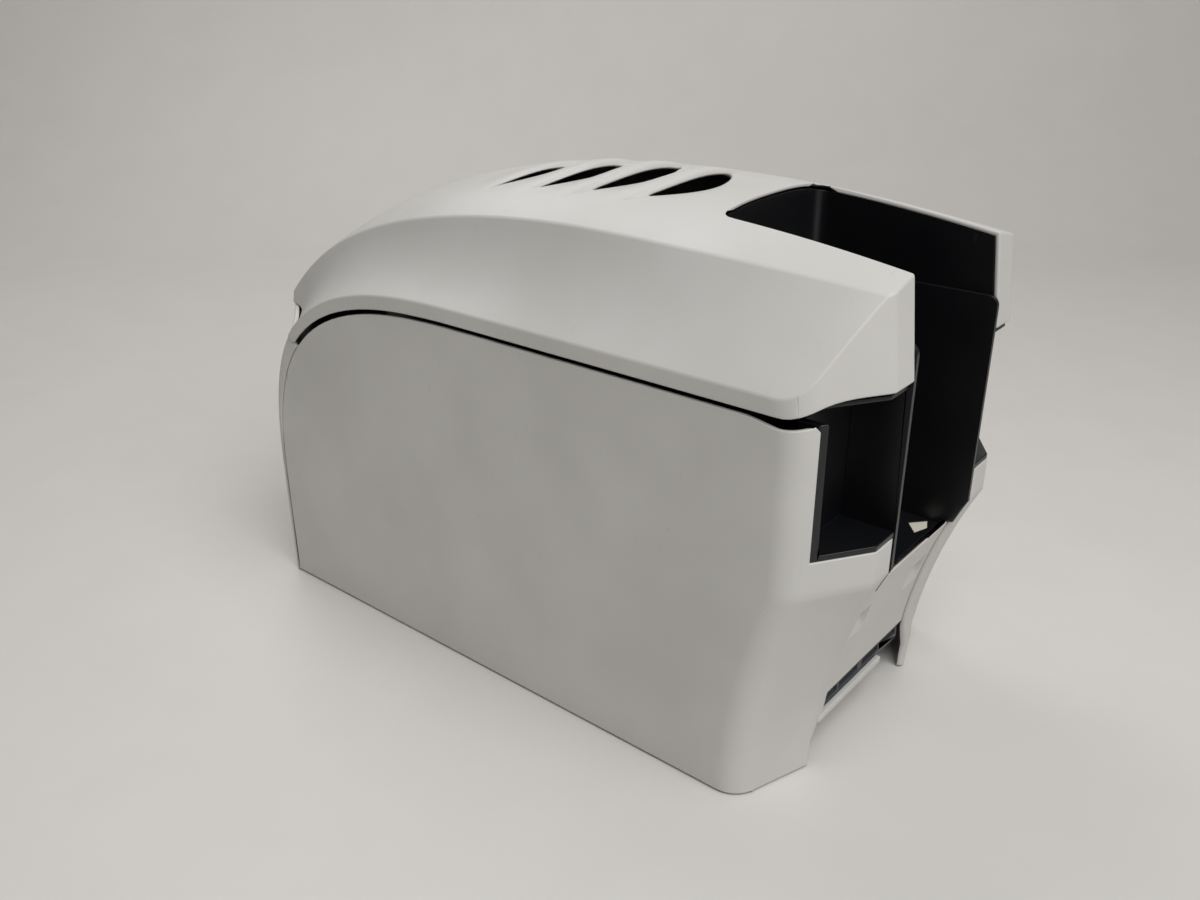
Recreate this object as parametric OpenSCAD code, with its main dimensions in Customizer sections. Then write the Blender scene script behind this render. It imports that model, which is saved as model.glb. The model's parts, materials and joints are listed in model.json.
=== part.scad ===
// Desktop card printer: hinged lid over a ribbon bay, open card hopper in front.
// Millimetres. Front faces -Y, +Z up, origin under the middle of the body on the floor.

/* [Body] */
// Width over the side covers
body_w = 204; // [190:1:230]
// Depth of the shell without the rear hinge knuckles
shell_l = 406; // [390:1:440]
// Height of the side covers where their top edge is level
side_h = 209; // [200:1:225]
// Height at which the front stops leaning and stands upright
crease_z = 124.5; // [110:0.5:132]
// How far the front leans forward from the floor to that height
front_lean = 28; // [18:0.5:36]
// Wall thickness of the moulded covers
wall = 2.5; // [2:0.1:3.2]
// Radius of the upright front corners
corner_r = 16; // [9:0.5:17]
// Thickness of the rubber feet
foot_t = 2; // [1.5:0.1:4]

/* [Lid] */
// Height of the lid's lower edge above the level part of the side covers
lid_gap = 2.9; // [2:0.1:5]
// Height of the upright band round the lid's lower edge
band_h = 8.4; // [6:0.2:12]
// Height of the crisp ridge above the level part of the side covers
ridge_h = 59.3; // [50:0.5:66]
// Half width of the flat top between the ridges
ridge_x = 75; // [68:0.5:80]
// Rise of the crowned top above the ridges
crown_h = 14.2; // [9:0.1:16]
// How far the lid stands out past the side covers
lid_over = 1; // [0.4:0.1:1.4]
// Height of the raised lips over the louvres
lip_h = 7.5; // [4:0.1:8]
// Number of louvres
lips = 4; // [2:1:5]
// Spacing of the louvres
lip_pitch = 31.8; // [24:0.2:34]

/* [Hopper] */
// Clear width between the hopper walls, for an 85.6 mm card
hopper_w = 87; // [86.4:0.1:92]
// Thickness of the hopper walls
hopper_t = 2.4; // [1.8:0.1:2.8]
// Depth of the hopper from the front to its back wall
hopper_d = 98.5; // [90:0.5:110]
// Height of the hopper walls above the floor the printer stands on
hopper_top = 236; // [225:1:244]
// Height of the card path above the floor
path_z = 109; // [104:1:114]
// Height of the side pockets' floor
pocket_z = 142.5; // [136:0.5:160]
// Depth of the side pockets behind the front band
pocket_d = 28; // [20:1:34]
// Width of the pillar beside each pocket
pillar_w = 10.2; // [8:0.2:14]

/* [Front flap] */
// Height of the flap's lower edge
flap_z = 38.5; // [37:0.5:40]
// Height of the flap's upper edge
flap_top = 109; // [90:0.5:110]
// How far the flap lies behind the covers' front edge
flap_out = 2.6; // [0.4:0.1:2.8]
// Thickness of the flap
flap_t = 3; // [2:0.1:3.4]
// Radius of the flap's hinge pins
flap_pin_r = 1.5; // [1:0.1:1.8]

/* [Transport] */
// Teeth on each transport gear
gear_teeth = 30; // [30:2:30]
// Gear module
gear_m = 1; // [0.9:0.01:1]
// Teeth on the motor pinion
pinion_teeth = 15; // [15:1:15]
// Face width of the gears
gear_w = 6; // [4:0.5:8]
// Radius of the transport rollers
roller_r = 8; // [7:0.1:8.5]
// Radius of the roller shafts
shaft_r = 3; // [2.5:0.1:3.5]
// Radial clearance of every running fit
run_fit = 0.05; // [0.03:0.01:0.1]
// Thickness of the steel side frames
frame_t = 2; // [1.5:0.1:2.5]
// Radius of the full ribbon roll
supply_r = 22; // [16:0.5:24]
// Radius of the wound up ribbon roll
takeup_r = 16; // [12:0.5:20]

/* [Hidden] */
$fn = 48;

// Frame of the whole: the knuckles stand out behind the shell.
knuckle_r = 4;
front_y = -(shell_l + knuckle_r) / 2;
back_y = front_y + shell_l;
half_w = body_w / 2;
lid_w = half_w + lid_over;
fit = 0.3;                       // gap between pieces of different bodies
floor_gap = 1.2;                 // covers above the floor

// Front outline, seen from above, as a function of height.
band_y = front_y + 0.6;          // front band, above the crease
arc_r = (crease_z * crease_z + front_lean * front_lean) / (2 * front_lean);
corner_back = 25;                // sharp side corner behind the band, above the crease
corner_lean = 18.4;              // how much of the lean the side corner has
band_x_low = 57;                 // outer end of the band at the floor
band_x_top = 64;                 // the same above the crease
arch_x = hopper_w / 2 + hopper_t + 0.1;
function lean(z) = z >= crease_z ? 1 : (arc_r - sqrt(arc_r * arc_r - z * z)) / front_lean;
function band_at(z) = band_y + front_lean * (1 - lean(z));
function corner_at(z) = band_y + corner_back + corner_lean * (1 - lean(z));
function band_end(z) = band_x_low + (band_x_top - band_x_low) * lean(z);
arch_low = 54;                   // the arch widens to this half width at the feet
function arch_in(z) = arch_x + (arch_low - arch_x) * min(1, max(0, (34 - z) / 17));
module arch_disc(g) {
    translate([band_at(0) - arc_r, 0]) circle(r = arc_r + g, $fn = 180);
}

// Side outlines: three nested rounded curves about one centre.
curve_y = back_y - 193;
curve_z = 56;
side_a = 187;
lid_a = 190;
rear_a = 193;
side_b = side_h - curve_z;
lid_b = side_b + lid_gap;
rear_b = lid_b + band_h;
function curve_top(y, a, b) =
    y <= curve_y ? curve_z + b : curve_z + b * pow(max(0, 1 - pow((y - curve_y) / a, 3)), 1 / 3);
function curve_back(z, a, b) =
    z <= curve_z ? curve_y + a : curve_y + a * pow(max(0, 1 - pow((z - curve_z) / b, 3)), 1 / 3);

// Ridge and crown of the lid along the depth.
crest_y = back_y - 248;
ridge_z = side_h + ridge_h;
ridge_run = 243;
function ridge_u(y) = (y - crest_y) / ridge_run;
function ridge_at(y) = y < crest_y
    ? ridge_z - 7.1 * pow((crest_y - y) / (crest_y - front_y), 2)
    : ridge_z - 47 * pow(ridge_u(y), 2) - 24 * pow(ridge_u(y), 6);
function ridge_half(y) = ridge_x - 9 * (1 - sin(90 * min(1, max(0, (y - front_y) / 130))));
function ease(t) = let (u = min(1, max(0, t))) u * u * (3 - 2 * u);
function crown_at(y) = y < -60
    ? crown_h - 7 * pow((y + 60) / (front_y + 60), 2)
    : crown_h + 1.8 * ease((y + 20) / 90) - 8.5 * pow(max(0, (y - 90) / (back_y - 90)), 1.5);
crown_power = 2.7;               // the crown is flat in the middle and falls off at the ridges
function top_at(x, y) = ridge_at(y) + crown_at(y) * (1 - pow(abs(x) / ridge_half(y), crown_power));
function bow_at(y) = 5 * min(1, max(0, (y - front_y) / 200));

// Lid opening and seam
slot_x = arch_x + 0.3;
hop_back = front_y + 1.6 + hopper_d;
slot_back = hop_back + 3.4;
slot_r = 6;
hinge_z = 184;
hinge_y = back_y;
seam_drop = 2;                   // sloping seam: z = y + seam_drop
seam_gap = 0.4;
pin_r = 1.6;
hinge_x = 45;
lid_knuckle = 14;
base_knuckle = 10;
leaf_t = 2.5;
lid_front_lift = 7.6;            // the lid's front edge rises over the pockets
lid_lean = 6;                    // the lid's front leans back up to its top

// Hopper
hop_x = hopper_w / 2;
hop_front = band_y;
hop_floor = path_z - 1;
hop_floor_t = 2;
hop_slot_h = 3;
hop_arc = 5;
hop_set = 0.2;                   // hopper front behind the covers' arch

// Inner frame and transport
frame_x = 58;
frame_z = foot_t + 3;
frame_out = frame_x + frame_t;
gear_r = gear_teeth * gear_m / 2;
gear_pitch = 2 * gear_r;
pinion_r = pinion_teeth * gear_m / 2;
gear_x = frame_out + 1;
shaft_z = path_z - roller_r;
bush_r = shaft_r + 3;
roller_half = 42;
platen_y = 0;
roller_ys = [-4 * gear_pitch, -2 * gear_pitch, 0, 2 * gear_pitch];
idler_ys = [-3 * gear_pitch, -gear_pitch, gear_pitch];
pinion_z = shaft_z - gear_r - pinion_r;
pinch_r = 6;
card_t = 0.8;
pinch_z = path_z + card_t + pinch_r;
pinch_shaft = 2.5;
spool_z = path_z + 50;
spool_y = 62;
core_r = 9;
spool_half = 50;
stub_r = 5;
film_z = path_z + 4.3;
film_t = 0.4;
film_half = 48;
bar_r = 3;
bar_y = 24;
pan_z = lid_b + curve_z + 4;

plastic = "#c4c3c0";
dark = "#141517";
grey = "#4a4b4c";
steel = "#a8abb0";
rubber = "#2a2a2c";
nylon = "#e6e2d6";

// ---------- helpers ----------
// A solid through rings of equal length, each a closed loop.
module skin(rings) {
    n = len(rings[0]);
    m = len(rings);
    polyhedron(
        points = [for (r = rings) each r],
        faces = concat(
            [[for (i = [0:n - 1]) i]],
            [[for (i = [n - 1:-1:0]) (m - 1) * n + i]],
            [for (k = [0:m - 2]) for (i = [0:n - 1]) let (j = (i + 1) % n)
                each [[k * n + i, (k + 1) * n + i, (k + 1) * n + j],
                      [k * n + i, (k + 1) * n + j, k * n + j]]]),
        convexity = 8);
}

// Points of an arc that rounds corner b of the path a-b-c.
function unit(v) = v / norm(v);
function round_corner(a, b, c, r, n = 5) =
    let (u = unit(a - b), v = unit(c - b), half = acos(u * v) / 2,
         m = b + unit(u + v) * r / sin(half),
         p = b + u * r / tan(half) - m, q = b + v * r / tan(half) - m,
         a0 = atan2(p.y, p.x), d0 = atan2(q.y, q.x) - a0,
         d = d0 > 180 ? d0 - 360 : d0 < -180 ? d0 + 360 : d0)
    [for (i = [0:n]) m + r * [cos(a0 + d * i / n), sin(a0 + d * i / n)]];

// Where the slanted front line, moved in by t, meets the side and the band.
function front_line(z, w, t) =
    let (a = [-w, corner_at(z)], b = [-band_end(z), band_at(z)], d = unit(b - a),
         o = a + t * [-d.y, d.x])
    [o + d * (-w + t - o.x) / d.x, o + d * (b.y + t - o.y) / d.y];
function front_left(z, w, t) =
    let (l = front_line(z, w, t), side = [-w + t, l[0].y + 60])
    concat(round_corner(side, l[0], l[1], corner_r - t), [l[1]]);
function at_z(pts, z) = [for (p = pts) [p.x, p.y, z]];
function flip(pts) = [for (i = [len(pts) - 1:-1:0]) [-pts[i].x, pts[i].y]];

// Side view outline (y, z), pushed along X between two places.
module side_extrude(x0, x1) {
    translate([x0, 0, 0]) rotate([90, 0, 90]) linear_extrude(x1 - x0) children();
}
module block(lo, hi) {
    translate(lo) cube(hi - lo);
}
module along_x(x0, x1, y, z, r) {
    translate([x0, y, z]) rotate([0, 90, 0]) cylinder(h = x1 - x0, r = r);
}
module ring_x(x0, x1, y, z, ro, ri) {
    difference() {
        along_x(x0, x1, y, z, ro);
        along_x(x0 - 1, x1 + 1, y, z, ri);
    }
}

// Area under one of the nested side curves, grown by g.
module under_curve(a, b, g = 0, low = -5) {
    steps = 16;
    polygon(concat(
        [[front_y - 20, low], [front_y - 20, curve_z + b + g]],
        [for (i = [0:steps]) let (t = 90 - 90 * i / steps)
            [curve_y + (a + g) * pow(max(0, cos(t)), 2 / 3), curve_z + (b + g) * pow(max(0, sin(t)), 2 / 3)]],
        [[curve_y + a + g, low]]));
}
// Everything above the seam between the lid and the rear cover.
module above_seam(g = 0) {
    polygon([[front_y - 20, 420], [front_y - 20, front_y - 20 + seam_drop + g],
        [hinge_z - seam_drop, hinge_z + g], [back_y + 40, hinge_z + g], [back_y + 40, 420]]);
}

// ---------- covers ----------
cover_zs = [floor_gap, 17, 34, 50, 65, 80, 95, 110, crease_z, side_h + 5];
inner_zs = [floor_gap - 1, 17, 34, 50, 65, 80, 95, 110, crease_z, side_h + 6];
module cover_mass(t, over, zs) {
    skin([for (z = zs) let (x_in = over - arch_in(z), f = front_left(max(0, z), half_w, t))
        at_z(concat([[-half_w + t, back_y]], f, [[x_in, f[len(f) - 1].y], [x_in, back_y]]), z)]);
}
module side_cover() {
    difference() {
        intersection() {
            difference() {
                cover_mass(0, 0, cover_zs);
                cover_mass(wall, 12, inner_zs);
            }
            side_extrude(-half_w - 1, 0) under_curve(side_a, side_b);
        }
        block([-half_w + pillar_w, front_y - 10, pocket_z], [0, band_y + corner_back + 20, side_h + 9]);
    }
}
button_y = front_y + 62;
button_z = side_h - 30;
button_r = 5.6;
light_y = button_y + 18;
light_r = 2;
module left_cover() {
    color(plastic) side_cover();
}
module right_cover() {
    color(plastic) difference() {
        mirror([1, 0, 0]) side_cover();
        along_x(half_w - 8, half_w + 5, button_y, button_z, button_r + fit);
        along_x(half_w - 8, half_w + 5, light_y, button_z, light_r);
    }
}

// ---------- rear cover ----------
rear_r = 7;
inlet_x = -62;
inlet_z = 42;
inlet_w = 28;
inlet_h = 21;
switch_z = inlet_z + 32;
switch_w = 21;
switch_h = 14;
fan_x = 52;
fan_z = 62;
fan_r = 23;
usb_x = -20;
lan_x = 5;
socket_z = 34;
screw_r = 1.5;
screw_at = [[-84, 14], [84, 14], [-84, 54], [84, 54], [-20, 150], [20, 150]];
function rear_ring(z, t) =
    let (w = half_w - t, y = curve_back(z, rear_a, rear_b) - t, b = back_y - t,
         x = ridge_half(back_y) - 0.6 * t, r = rear_r - t,
         left = b - y < 1
            ? round_corner([-w, 0], [-w, b], [0, b], r, 4)
            : concat(round_corner([-w, 0], [-w, y], [-x, b], r * 0.5, 2), [[-x - 4 * (w - x) / 30, b - 4 * (b - y) / 30], [-x, b]]),
         back = [for (i = [len(left) - 1:-1:0]) left[i]])
    concat([[w, curve_y]], [for (p = left) [-p.x, p.y]], back, [[-w, curve_y]]);
rear_zs = [floor_gap, 56, 100, 125, 145, 160, 172, hinge_z + 2];
rear_in = [floor_gap - 2, 56, 100, 125, 145, 160, 172, hinge_z + 4];
module rear_holes() {
    // power inlet, switch and sockets
    block([inlet_x - inlet_w / 2, back_y - 5, inlet_z - inlet_h / 2],
        [inlet_x + inlet_w / 2, back_y + 2, inlet_z + inlet_h / 2]);
    block([inlet_x - switch_w / 2, back_y - 5, switch_z - switch_h / 2],
        [inlet_x + switch_w / 2, back_y + 2, switch_z + switch_h / 2]);
    block([usb_x - 6.2, back_y - 5, socket_z - 0.2], [usb_x + 6.2, back_y + 2, socket_z + 11.2]);
    block([lan_x - 8.2, back_y - 5, socket_z - 0.2], [lan_x + 8.2, back_y + 2, socket_z + 13.7]);
    // fan grille of level slots
    for (i = [-4:4])
        let (h = i * 4.8, w = sqrt(fan_r * fan_r - h * h))
            block([fan_x - w, back_y - 5, fan_z + h - 1.3], [fan_x + w, back_y + 2, fan_z + h + 1.3]);
    for (s = screw_at)
        translate([s.x, back_y - 6, s.y]) rotate([-90, 0, 0]) cylinder(h = 12, r = screw_r);
    // room for the hinge knuckles
    for (x = [-hinge_x, hinge_x])
        block([x - lid_knuckle / 2 - base_knuckle - 0.6, back_y - 5, hinge_z - knuckle_r - 0.5],
            [x + lid_knuckle / 2 + base_knuckle + 0.6, back_y + 2, hinge_z + 2]);
}
module rear_cover() {
    color(plastic) difference() {
        skin([for (z = rear_zs) at_z(rear_ring(z, 0), z)]);
        skin([for (z = rear_in) at_z(rear_ring(z, wall), z)]);
        side_extrude(-half_w - 2, half_w + 2) under_curve(side_a, side_b, 0.6);
        side_extrude(-half_w - 2, half_w + 2) above_seam(-seam_gap / 2);
        rear_holes();
    }
}
module cover_screws() {
    color(steel) for (s = screw_at) {
        translate([s.x, back_y - 5, s.y]) rotate([-90, 0, 0]) cylinder(h = 5, r = screw_r);
        translate([s.x, back_y, s.y]) rotate([-90, 0, 0]) difference() {
            cylinder(h = 1.4, r = 3);
            translate([-2, -0.35, 0.8]) cube([4, 0.7, 1]);
            translate([-0.35, -2, 0.8]) cube([0.7, 4, 1]);
        }
    }
}

// ---------- base ----------
foot_x = half_w - 20;
foot_ys = [front_y + 62, back_y - 24];
module rubber_feet() {
    color(rubber) for (x = [-foot_x, foot_x], y = foot_ys)
        translate([x, y, 0]) cylinder(h = foot_t, r = 9);
}
tray_x = half_w - wall - 0.2;
tray_front = front_y + 58;
module base_tray() {
    color(grey) difference() {
        union() {
            block([-tray_x, tray_front, foot_t], [tray_x, back_y - wall - rear_r, frame_z]);
            block([-tray_x + rear_r, tray_front, foot_t], [tray_x - rear_r, back_y - wall - 0.2, frame_z]);
            for (s = [-1, 1])
                translate([s * (tray_x - 0.8), (tray_front + back_y - wall - rear_r) / 2, frame_z + 4])
                    cube([1.6, back_y - wall - rear_r - tray_front, 8], center = true);
        }
        for (i = [0:9])
            block([-40, curve_y - 70 + i * 9, 0], [40, curve_y - 66 + i * 9, frame_z + 1]);
    }
}

// ---------- front ----------
rim_top = 28;
rim_low = 24;
rim_end = 20;
bin_wall = 1.6;
bin_x = 44;
bin_floor = 50;
bin_top = path_z - 19;
bin_front = band_at(0) + 9;
bin_back = bin_front + 58;
flap_x = arch_x - 0.6;
flap_y = band_at(0) + 6;
flap_axis_z = flap_z + 5.5;
flap_lug_r = 3.4;
ear_x = arch_x - 1.7;
flap_back = flap_out + flap_t + 0.6;
flap_reach = norm([flap_y - band_at(flap_z) - flap_out, flap_axis_z - flap_z]);
notch_in = 23.5;
notch_out = 41;
notch_top = 87.5;
notch_low = 71;
notch_deep = 6;
module front_bezel() {
    color(plastic) {
        block([-arch_x - 3.3, band_at(rim_top) + 0.6, rim_low], [rim_end, band_at(rim_top) + 3.6, rim_top]);
        block([-arch_x - 4, band_at(rim_top) + 3.6, rim_low], [rim_end + 2, tray_front, rim_low + 2]);
        block([-arch_x - 4, tray_front - 2, frame_z - 3], [arch_x + 4, tray_front, rim_low]);
    }
}
module slit_frame() {
    y0 = band_at(rim_top) + 3.7;
    color(grey) difference() {
        block([-arch_x + 0.2, y0, rim_low + 2], [arch_x - 0.2, y0 + 24, rim_top + 6.6]);
        for (x = [[-arch_x + 2.2, -25], [-23, -2], [3, 22], [24, arch_x - 2.2]])
            block([x[0], y0 - 1, rim_top + 1.5], [x[1], y0 + 22, rim_top + 5.4]);
        // clear of the flap's lower edge as it swings
        along_x(-arch_x, arch_x, flap_y, flap_axis_z, flap_reach + 0.8);
    }
}
module card_bin() {
    color(dark) {
        difference() {
            block([-bin_x, bin_front, bin_floor - bin_wall], [bin_x, bin_back, bin_top]);
            block([-bin_x + bin_wall, bin_front - 1, bin_floor], [bin_x - bin_wall, bin_back - bin_wall, bin_top + 1]);
        }
        // flanges to the side frames
        for (s = [-1, 1])
            translate([s * (bin_x + frame_x) / 2, (bin_front + bin_back) / 2, bin_floor - bin_wall / 2])
                cube([frame_x - bin_x, 30, bin_wall], center = true);
        // ears for the flap's pins
        for (s = [-1, 1]) difference() {
            pin_ear(s);
            along_x(-60, 60, flap_y, flap_axis_z, flap_pin_r);
        }
    }
}
module pin_ear(s) {
    x0 = s > 0 ? ear_x : -ear_x - 2;
    along_x(x0, x0 + 2, flap_y, flap_axis_z, 2.8);
    block([x0, flap_y, flap_axis_z - 2.8], [x0 + 2, bin_front + 12, flap_axis_z + 2.8]);
    block([x0, bin_front + 2, flap_axis_z - 2.8], [x0 + 2, bin_front + 12, bin_floor + 12]);
    block([min(x0, s * bin_x), bin_front + 2, bin_floor], [max(x0 + 2, s * bin_x), bin_front + 12, bin_floor + 12]);
}
module flap_pins() {
    color(steel) for (s = [-1, 1])
        along_x(s > 0 ? ear_x - 6 : -ear_x - 2, s > 0 ? ear_x + 2 : -ear_x + 6, flap_y, flap_axis_z, flap_pin_r);
}
module flap_profile(out) {
    // the arch follows the same arc as the covers, set back a little
    difference() {
        translate([front_y - 40, flap_z]) square([200, flap_top - flap_z]);
        arch_disc(out);
    }
}
// A finger scoop that deepens towards its upper edge; grown by g, from the depth front inwards.
module scoop(g, front) {
    y_low = band_at(notch_low) + flap_out;
    y_top = band_at(notch_top) + flap_out;
    for (s = [0, 1]) mirror([s, 0, 0]) side_extrude(notch_in - g, notch_out + g)
        polygon([[y_low + front, notch_low - g], [y_top + front, notch_top + g],
            [y_top + notch_deep + g, notch_top + g], [y_low + g + 0.2, notch_low - g]]);
}
module front_flap() {
    color(plastic) {
        difference() {
            union() {
                side_extrude(-flap_x, flap_x) difference() {
                    flap_profile(flap_out);
                    flap_profile(flap_out + flap_t);
                }
                scoop(1.5, 1);
            }
            scoop(0, -1);
        }
        for (s = [-1, 1]) difference() {
            union() {
                along_x(s * (ear_x - 3) - 2, s * (ear_x - 3) + 2, flap_y, flap_axis_z, flap_lug_r);
                block([s * (ear_x - 3) - 2, band_at(flap_axis_z) + flap_out + 1, flap_axis_z - flap_lug_r],
                    [s * (ear_x - 3) + 2, flap_y, flap_axis_z + flap_lug_r]);
            }
            along_x(s * (ear_x - 3) - 3, s * (ear_x - 3) + 3, flap_y, flap_axis_z, flap_pin_r + run_fit);
        }
    }
}

// ---------- hopper and pockets ----------
hop_r = 8;                       // rounded rear corners
// Plan of the hopper's inside, grown by g.
module hopper_plan(g) {
    r = hop_r + g - hopper_t;
    translate([-hop_x - g, front_y - 20]) square([2 * (hop_x + g), hop_back - 2 + g - r - front_y + 20]);
    translate([-hop_x - g + r, front_y - 20]) square([2 * (hop_x + g - r), hop_back - 2 + g - front_y + 20]);
    for (s = [-1, 1]) translate([s * (hop_x + g - r), hop_back - 2 + g - r]) circle(r = r);
}
module hopper_walls() {
    low = hop_floor - hop_floor_t;
    color(dark) difference() {
        intersection() {
            translate([0, 0, low]) linear_extrude(hopper_top - low) difference() {
                hopper_plan(hopper_t);
                hopper_plan(0);
            }
            side_extrude(-half_w, half_w) union() {
                translate([hop_front, low]) square([hop_back + 20 - hop_front, hopper_top - hop_arc - low]);
                translate([hop_front + hop_arc, hopper_top - hop_arc - 1])
                    square([hop_back + 20 - hop_front - hop_arc, hop_arc + 1]);
                translate([hop_front + hop_arc, hopper_top - hop_arc]) circle(r = hop_arc);
            }
        }
        side_extrude(-half_w, half_w) intersection() {
            translate([front_y - 20, 0]) square([80, crease_z]);
            arch_disc(hop_set);
        }
        // clear of the flap's upper edge
        side_extrude(-half_w, half_w) intersection() {
            translate([front_y - 20, 0]) square([80, flap_top + 0.8]);
            arch_disc(flap_back);
        }
        // way through for the lowest card
        block([-hop_x + 0.4, hop_back - 6, hop_floor + 0.5],
            [hop_x - 0.4, hop_back + 4, hop_floor + 0.5 + hop_slot_h]);
    }
}
module hopper_floor() {
    floor_low = hop_floor - hop_floor_t;
    color(dark) difference() {
        translate([0, 0, floor_low]) linear_extrude(hop_floor_t) hopper_plan(-0.02);
        side_extrude(-half_w, half_w) arch_disc(flap_back);
        block([-roller_half + 20, roller_ys[0] - roller_r - 1, path_z - 20],
            [roller_half - 20, roller_ys[0] + roller_r + 1, path_z + 20]);
        translate([25, band_at(floor_low) + 11.2, 90]) linear_extrude(60) polygon([[0, 0], [9, -3], [16, 0], [8, 7]]);
    }
}
pocket_t = 2;
leg = 3.4;                                // width of the frame round each pocket
module pocket() {
    x0 = -half_w + pillar_w + 0.1;
    x1 = -arch_x;
    l = front_line(crease_z, half_w, 0.5);
    slope = (l[1].y - l[0].y) / (l[1].x - l[0].x);
    y0 = l[0].y + slope * (x0 - l[0].x);
    yb = band_y + pocket_d;
    color(dark) {
        translate([0, 0, pocket_z]) linear_extrude(pocket_t + 1)
            polygon([[x0, y0], [l[1].x, l[1].y], [x1, l[1].y], [x1, yb + pocket_t], [x0, yb + pocket_t]]);
        translate([0, 0, pocket_z]) linear_extrude(side_h - pocket_z)
            polygon([[x0, y0], [x0 + leg, y0 + slope * leg], [x0 + leg, yb], [x0, yb]]);
        block([x0, yb, pocket_z], [x1, yb + pocket_t, side_h]);
    }
}
module left_pocket() {
    pocket();
}
module right_pocket() {
    mirror([1, 0, 0]) pocket();
}

// ---------- inner frame ----------
frame_front = front_y + 45;
frame_back = back_y - 36;
frame_top = side_h - 13;
rod_r = 4;
rod_at = [[frame_front + 22, 20], [spool_y + 48, frame_top - 9], [hop_back + rod_r + 5.4, frame_top - 9], [frame_back - 10, 20]];
module frame_plate(x0) {
    difference() {
        side_extrude(x0, x0 + frame_t)
            polygon([[frame_front, frame_z], [frame_front, path_z + 16], [frame_front + 60, frame_top],
                [frame_back - 40, frame_top], [frame_back, path_z + 8], [frame_back, frame_z]]);
        for (y = roller_ys) along_x(x0 - 1, x0 + 5, y, shaft_z, bush_r);
        for (y = [roller_ys[1], roller_ys[3]]) along_x(x0 - 1, x0 + 5, y, pinch_z, pinch_shaft + run_fit);
        for (y = [-spool_y, spool_y]) along_x(x0 - 1, x0 + 5, y, spool_z, stub_r + run_fit);
    }
}
module left_frame() {
    color(steel) frame_plate(-frame_out);
}
module right_frame() {
    color(steel) difference() {
        frame_plate(frame_x);
        for (y = idler_ys) along_x(frame_x - 1, frame_out + 1, y, shaft_z, shaft_r);
        along_x(frame_x - 1, frame_out + 1, idler_ys[1], pinion_z, 5);
    }
}
module tie_rods() {
    color(steel) for (p = rod_at) along_x(-frame_x, frame_x, p.x, p.y, rod_r);
}
module roller_bushes() {
    color(nylon) for (y = roller_ys, x = [-frame_out, frame_x])
        ring_x(x, x + frame_t, y, shaft_z, bush_r, shaft_r + run_fit);
}
module idler_pins() {
    color(steel) for (y = idler_ys) {
        along_x(frame_x, gear_x + gear_w + 1, y, shaft_z, shaft_r);
        along_x(gear_x + gear_w + 0.4, gear_x + gear_w + 1.4, y, shaft_z, shaft_r + 1.5);
    }
}
module card_guide() {
    block([-frame_x, hop_back + 0.4, path_z - 2], [-hop_x + 0.1, frame_back - 6, path_z]);
    block([-hop_x - 1.9, hop_back + 0.4, path_z], [-hop_x + 0.1, frame_back - 6, path_z + 4]);
}
module card_guides() {
    color(grey) {
        card_guide();
        mirror([1, 0, 0]) card_guide();
    }
}

// ---------- gears ----------
pressure = 20;
backlash = 0.28;
function involute(a) = tan(a) * 180 / PI - a;
// Half the tooth's angle at radius r
function tooth_half(n, r) =
    let (rb = n * gear_m / 2 * cos(pressure))
    90 / n - backlash * 90 / (PI * n * gear_m) + involute(pressure) - involute(acos(min(1, rb / r)));
module gear_2d(n, phase) {
    rp = n * gear_m / 2;
    ra = rp + 0.9 * gear_m;
    rf = rp - 1.25 * gear_m;
    rb = max(rp * cos(pressure), rf + 0.1);
    polygon([for (k = [0:n - 1]) let (c = phase + k * 360 / n)
        for (p = [[rf, -tooth_half(n, rb) * 1.05], [rb, -tooth_half(n, rb)], [(rp + rb) / 2, -tooth_half(n, (rp + rb) / 2)],
                  [rp, -tooth_half(n, rp)], [(rp + ra) / 2, -tooth_half(n, (rp + ra) / 2)],
                  [ra, -tooth_half(n, ra)], [ra, tooth_half(n, ra)],
                  [(rp + ra) / 2, tooth_half(n, (rp + ra) / 2)], [rp, tooth_half(n, rp)],
                  [(rp + rb) / 2, tooth_half(n, (rp + rb) / 2)],
                  [rb, tooth_half(n, rb)], [rf, tooth_half(n, rb) * 1.05]])
            p[0] * [cos(c + p[1]), sin(c + p[1])]]);
}
module gear(n, phase, y, z, bore) {
    translate([gear_x, y, z]) rotate([90, 0, 90]) linear_extrude(gear_w) difference() {
        gear_2d(n, phase);
        circle(r = bore);
    }
}
half_tooth = 180 / gear_teeth;

module driven_roller(y, r, half) {
    color(rubber) {
        for (s = [-1, 1])
            ring_x(s > 0 ? 8 : -half, s > 0 ? half : -8, y, shaft_z, r, shaft_r);
    }
    color(steel) along_x(-frame_out - 2, gear_x + gear_w + 1, y, shaft_z, shaft_r);
    color(nylon) gear(gear_teeth, 0, y, shaft_z, shaft_r);
}
module pick_roller() {
    driven_roller(roller_ys[0], roller_r, roller_half - 22);
}
module feed_roller() {
    driven_roller(roller_ys[1], roller_r, roller_half);
}
module platen_roller() {
    color(rubber) ring_x(-roller_half, roller_half, roller_ys[2], shaft_z, roller_r, shaft_r);
    color(steel) along_x(-frame_out - 2, gear_x + gear_w + 1, roller_ys[2], shaft_z, shaft_r);
    color(nylon) gear(gear_teeth, 0, roller_ys[2], shaft_z, shaft_r);
}
module exit_roller() {
    driven_roller(roller_ys[3], roller_r, roller_half);
}
module idler(y) {
    color(nylon) gear(gear_teeth, half_tooth, y, shaft_z, shaft_r + run_fit);
}
module pick_idler() {
    idler(idler_ys[0]);
}
module feed_idler() {
    idler(idler_ys[1]);
}
module exit_idler() {
    idler(idler_ys[2]);
}
motor_shaft_r = 2.5;
motor_side = 38;
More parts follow.
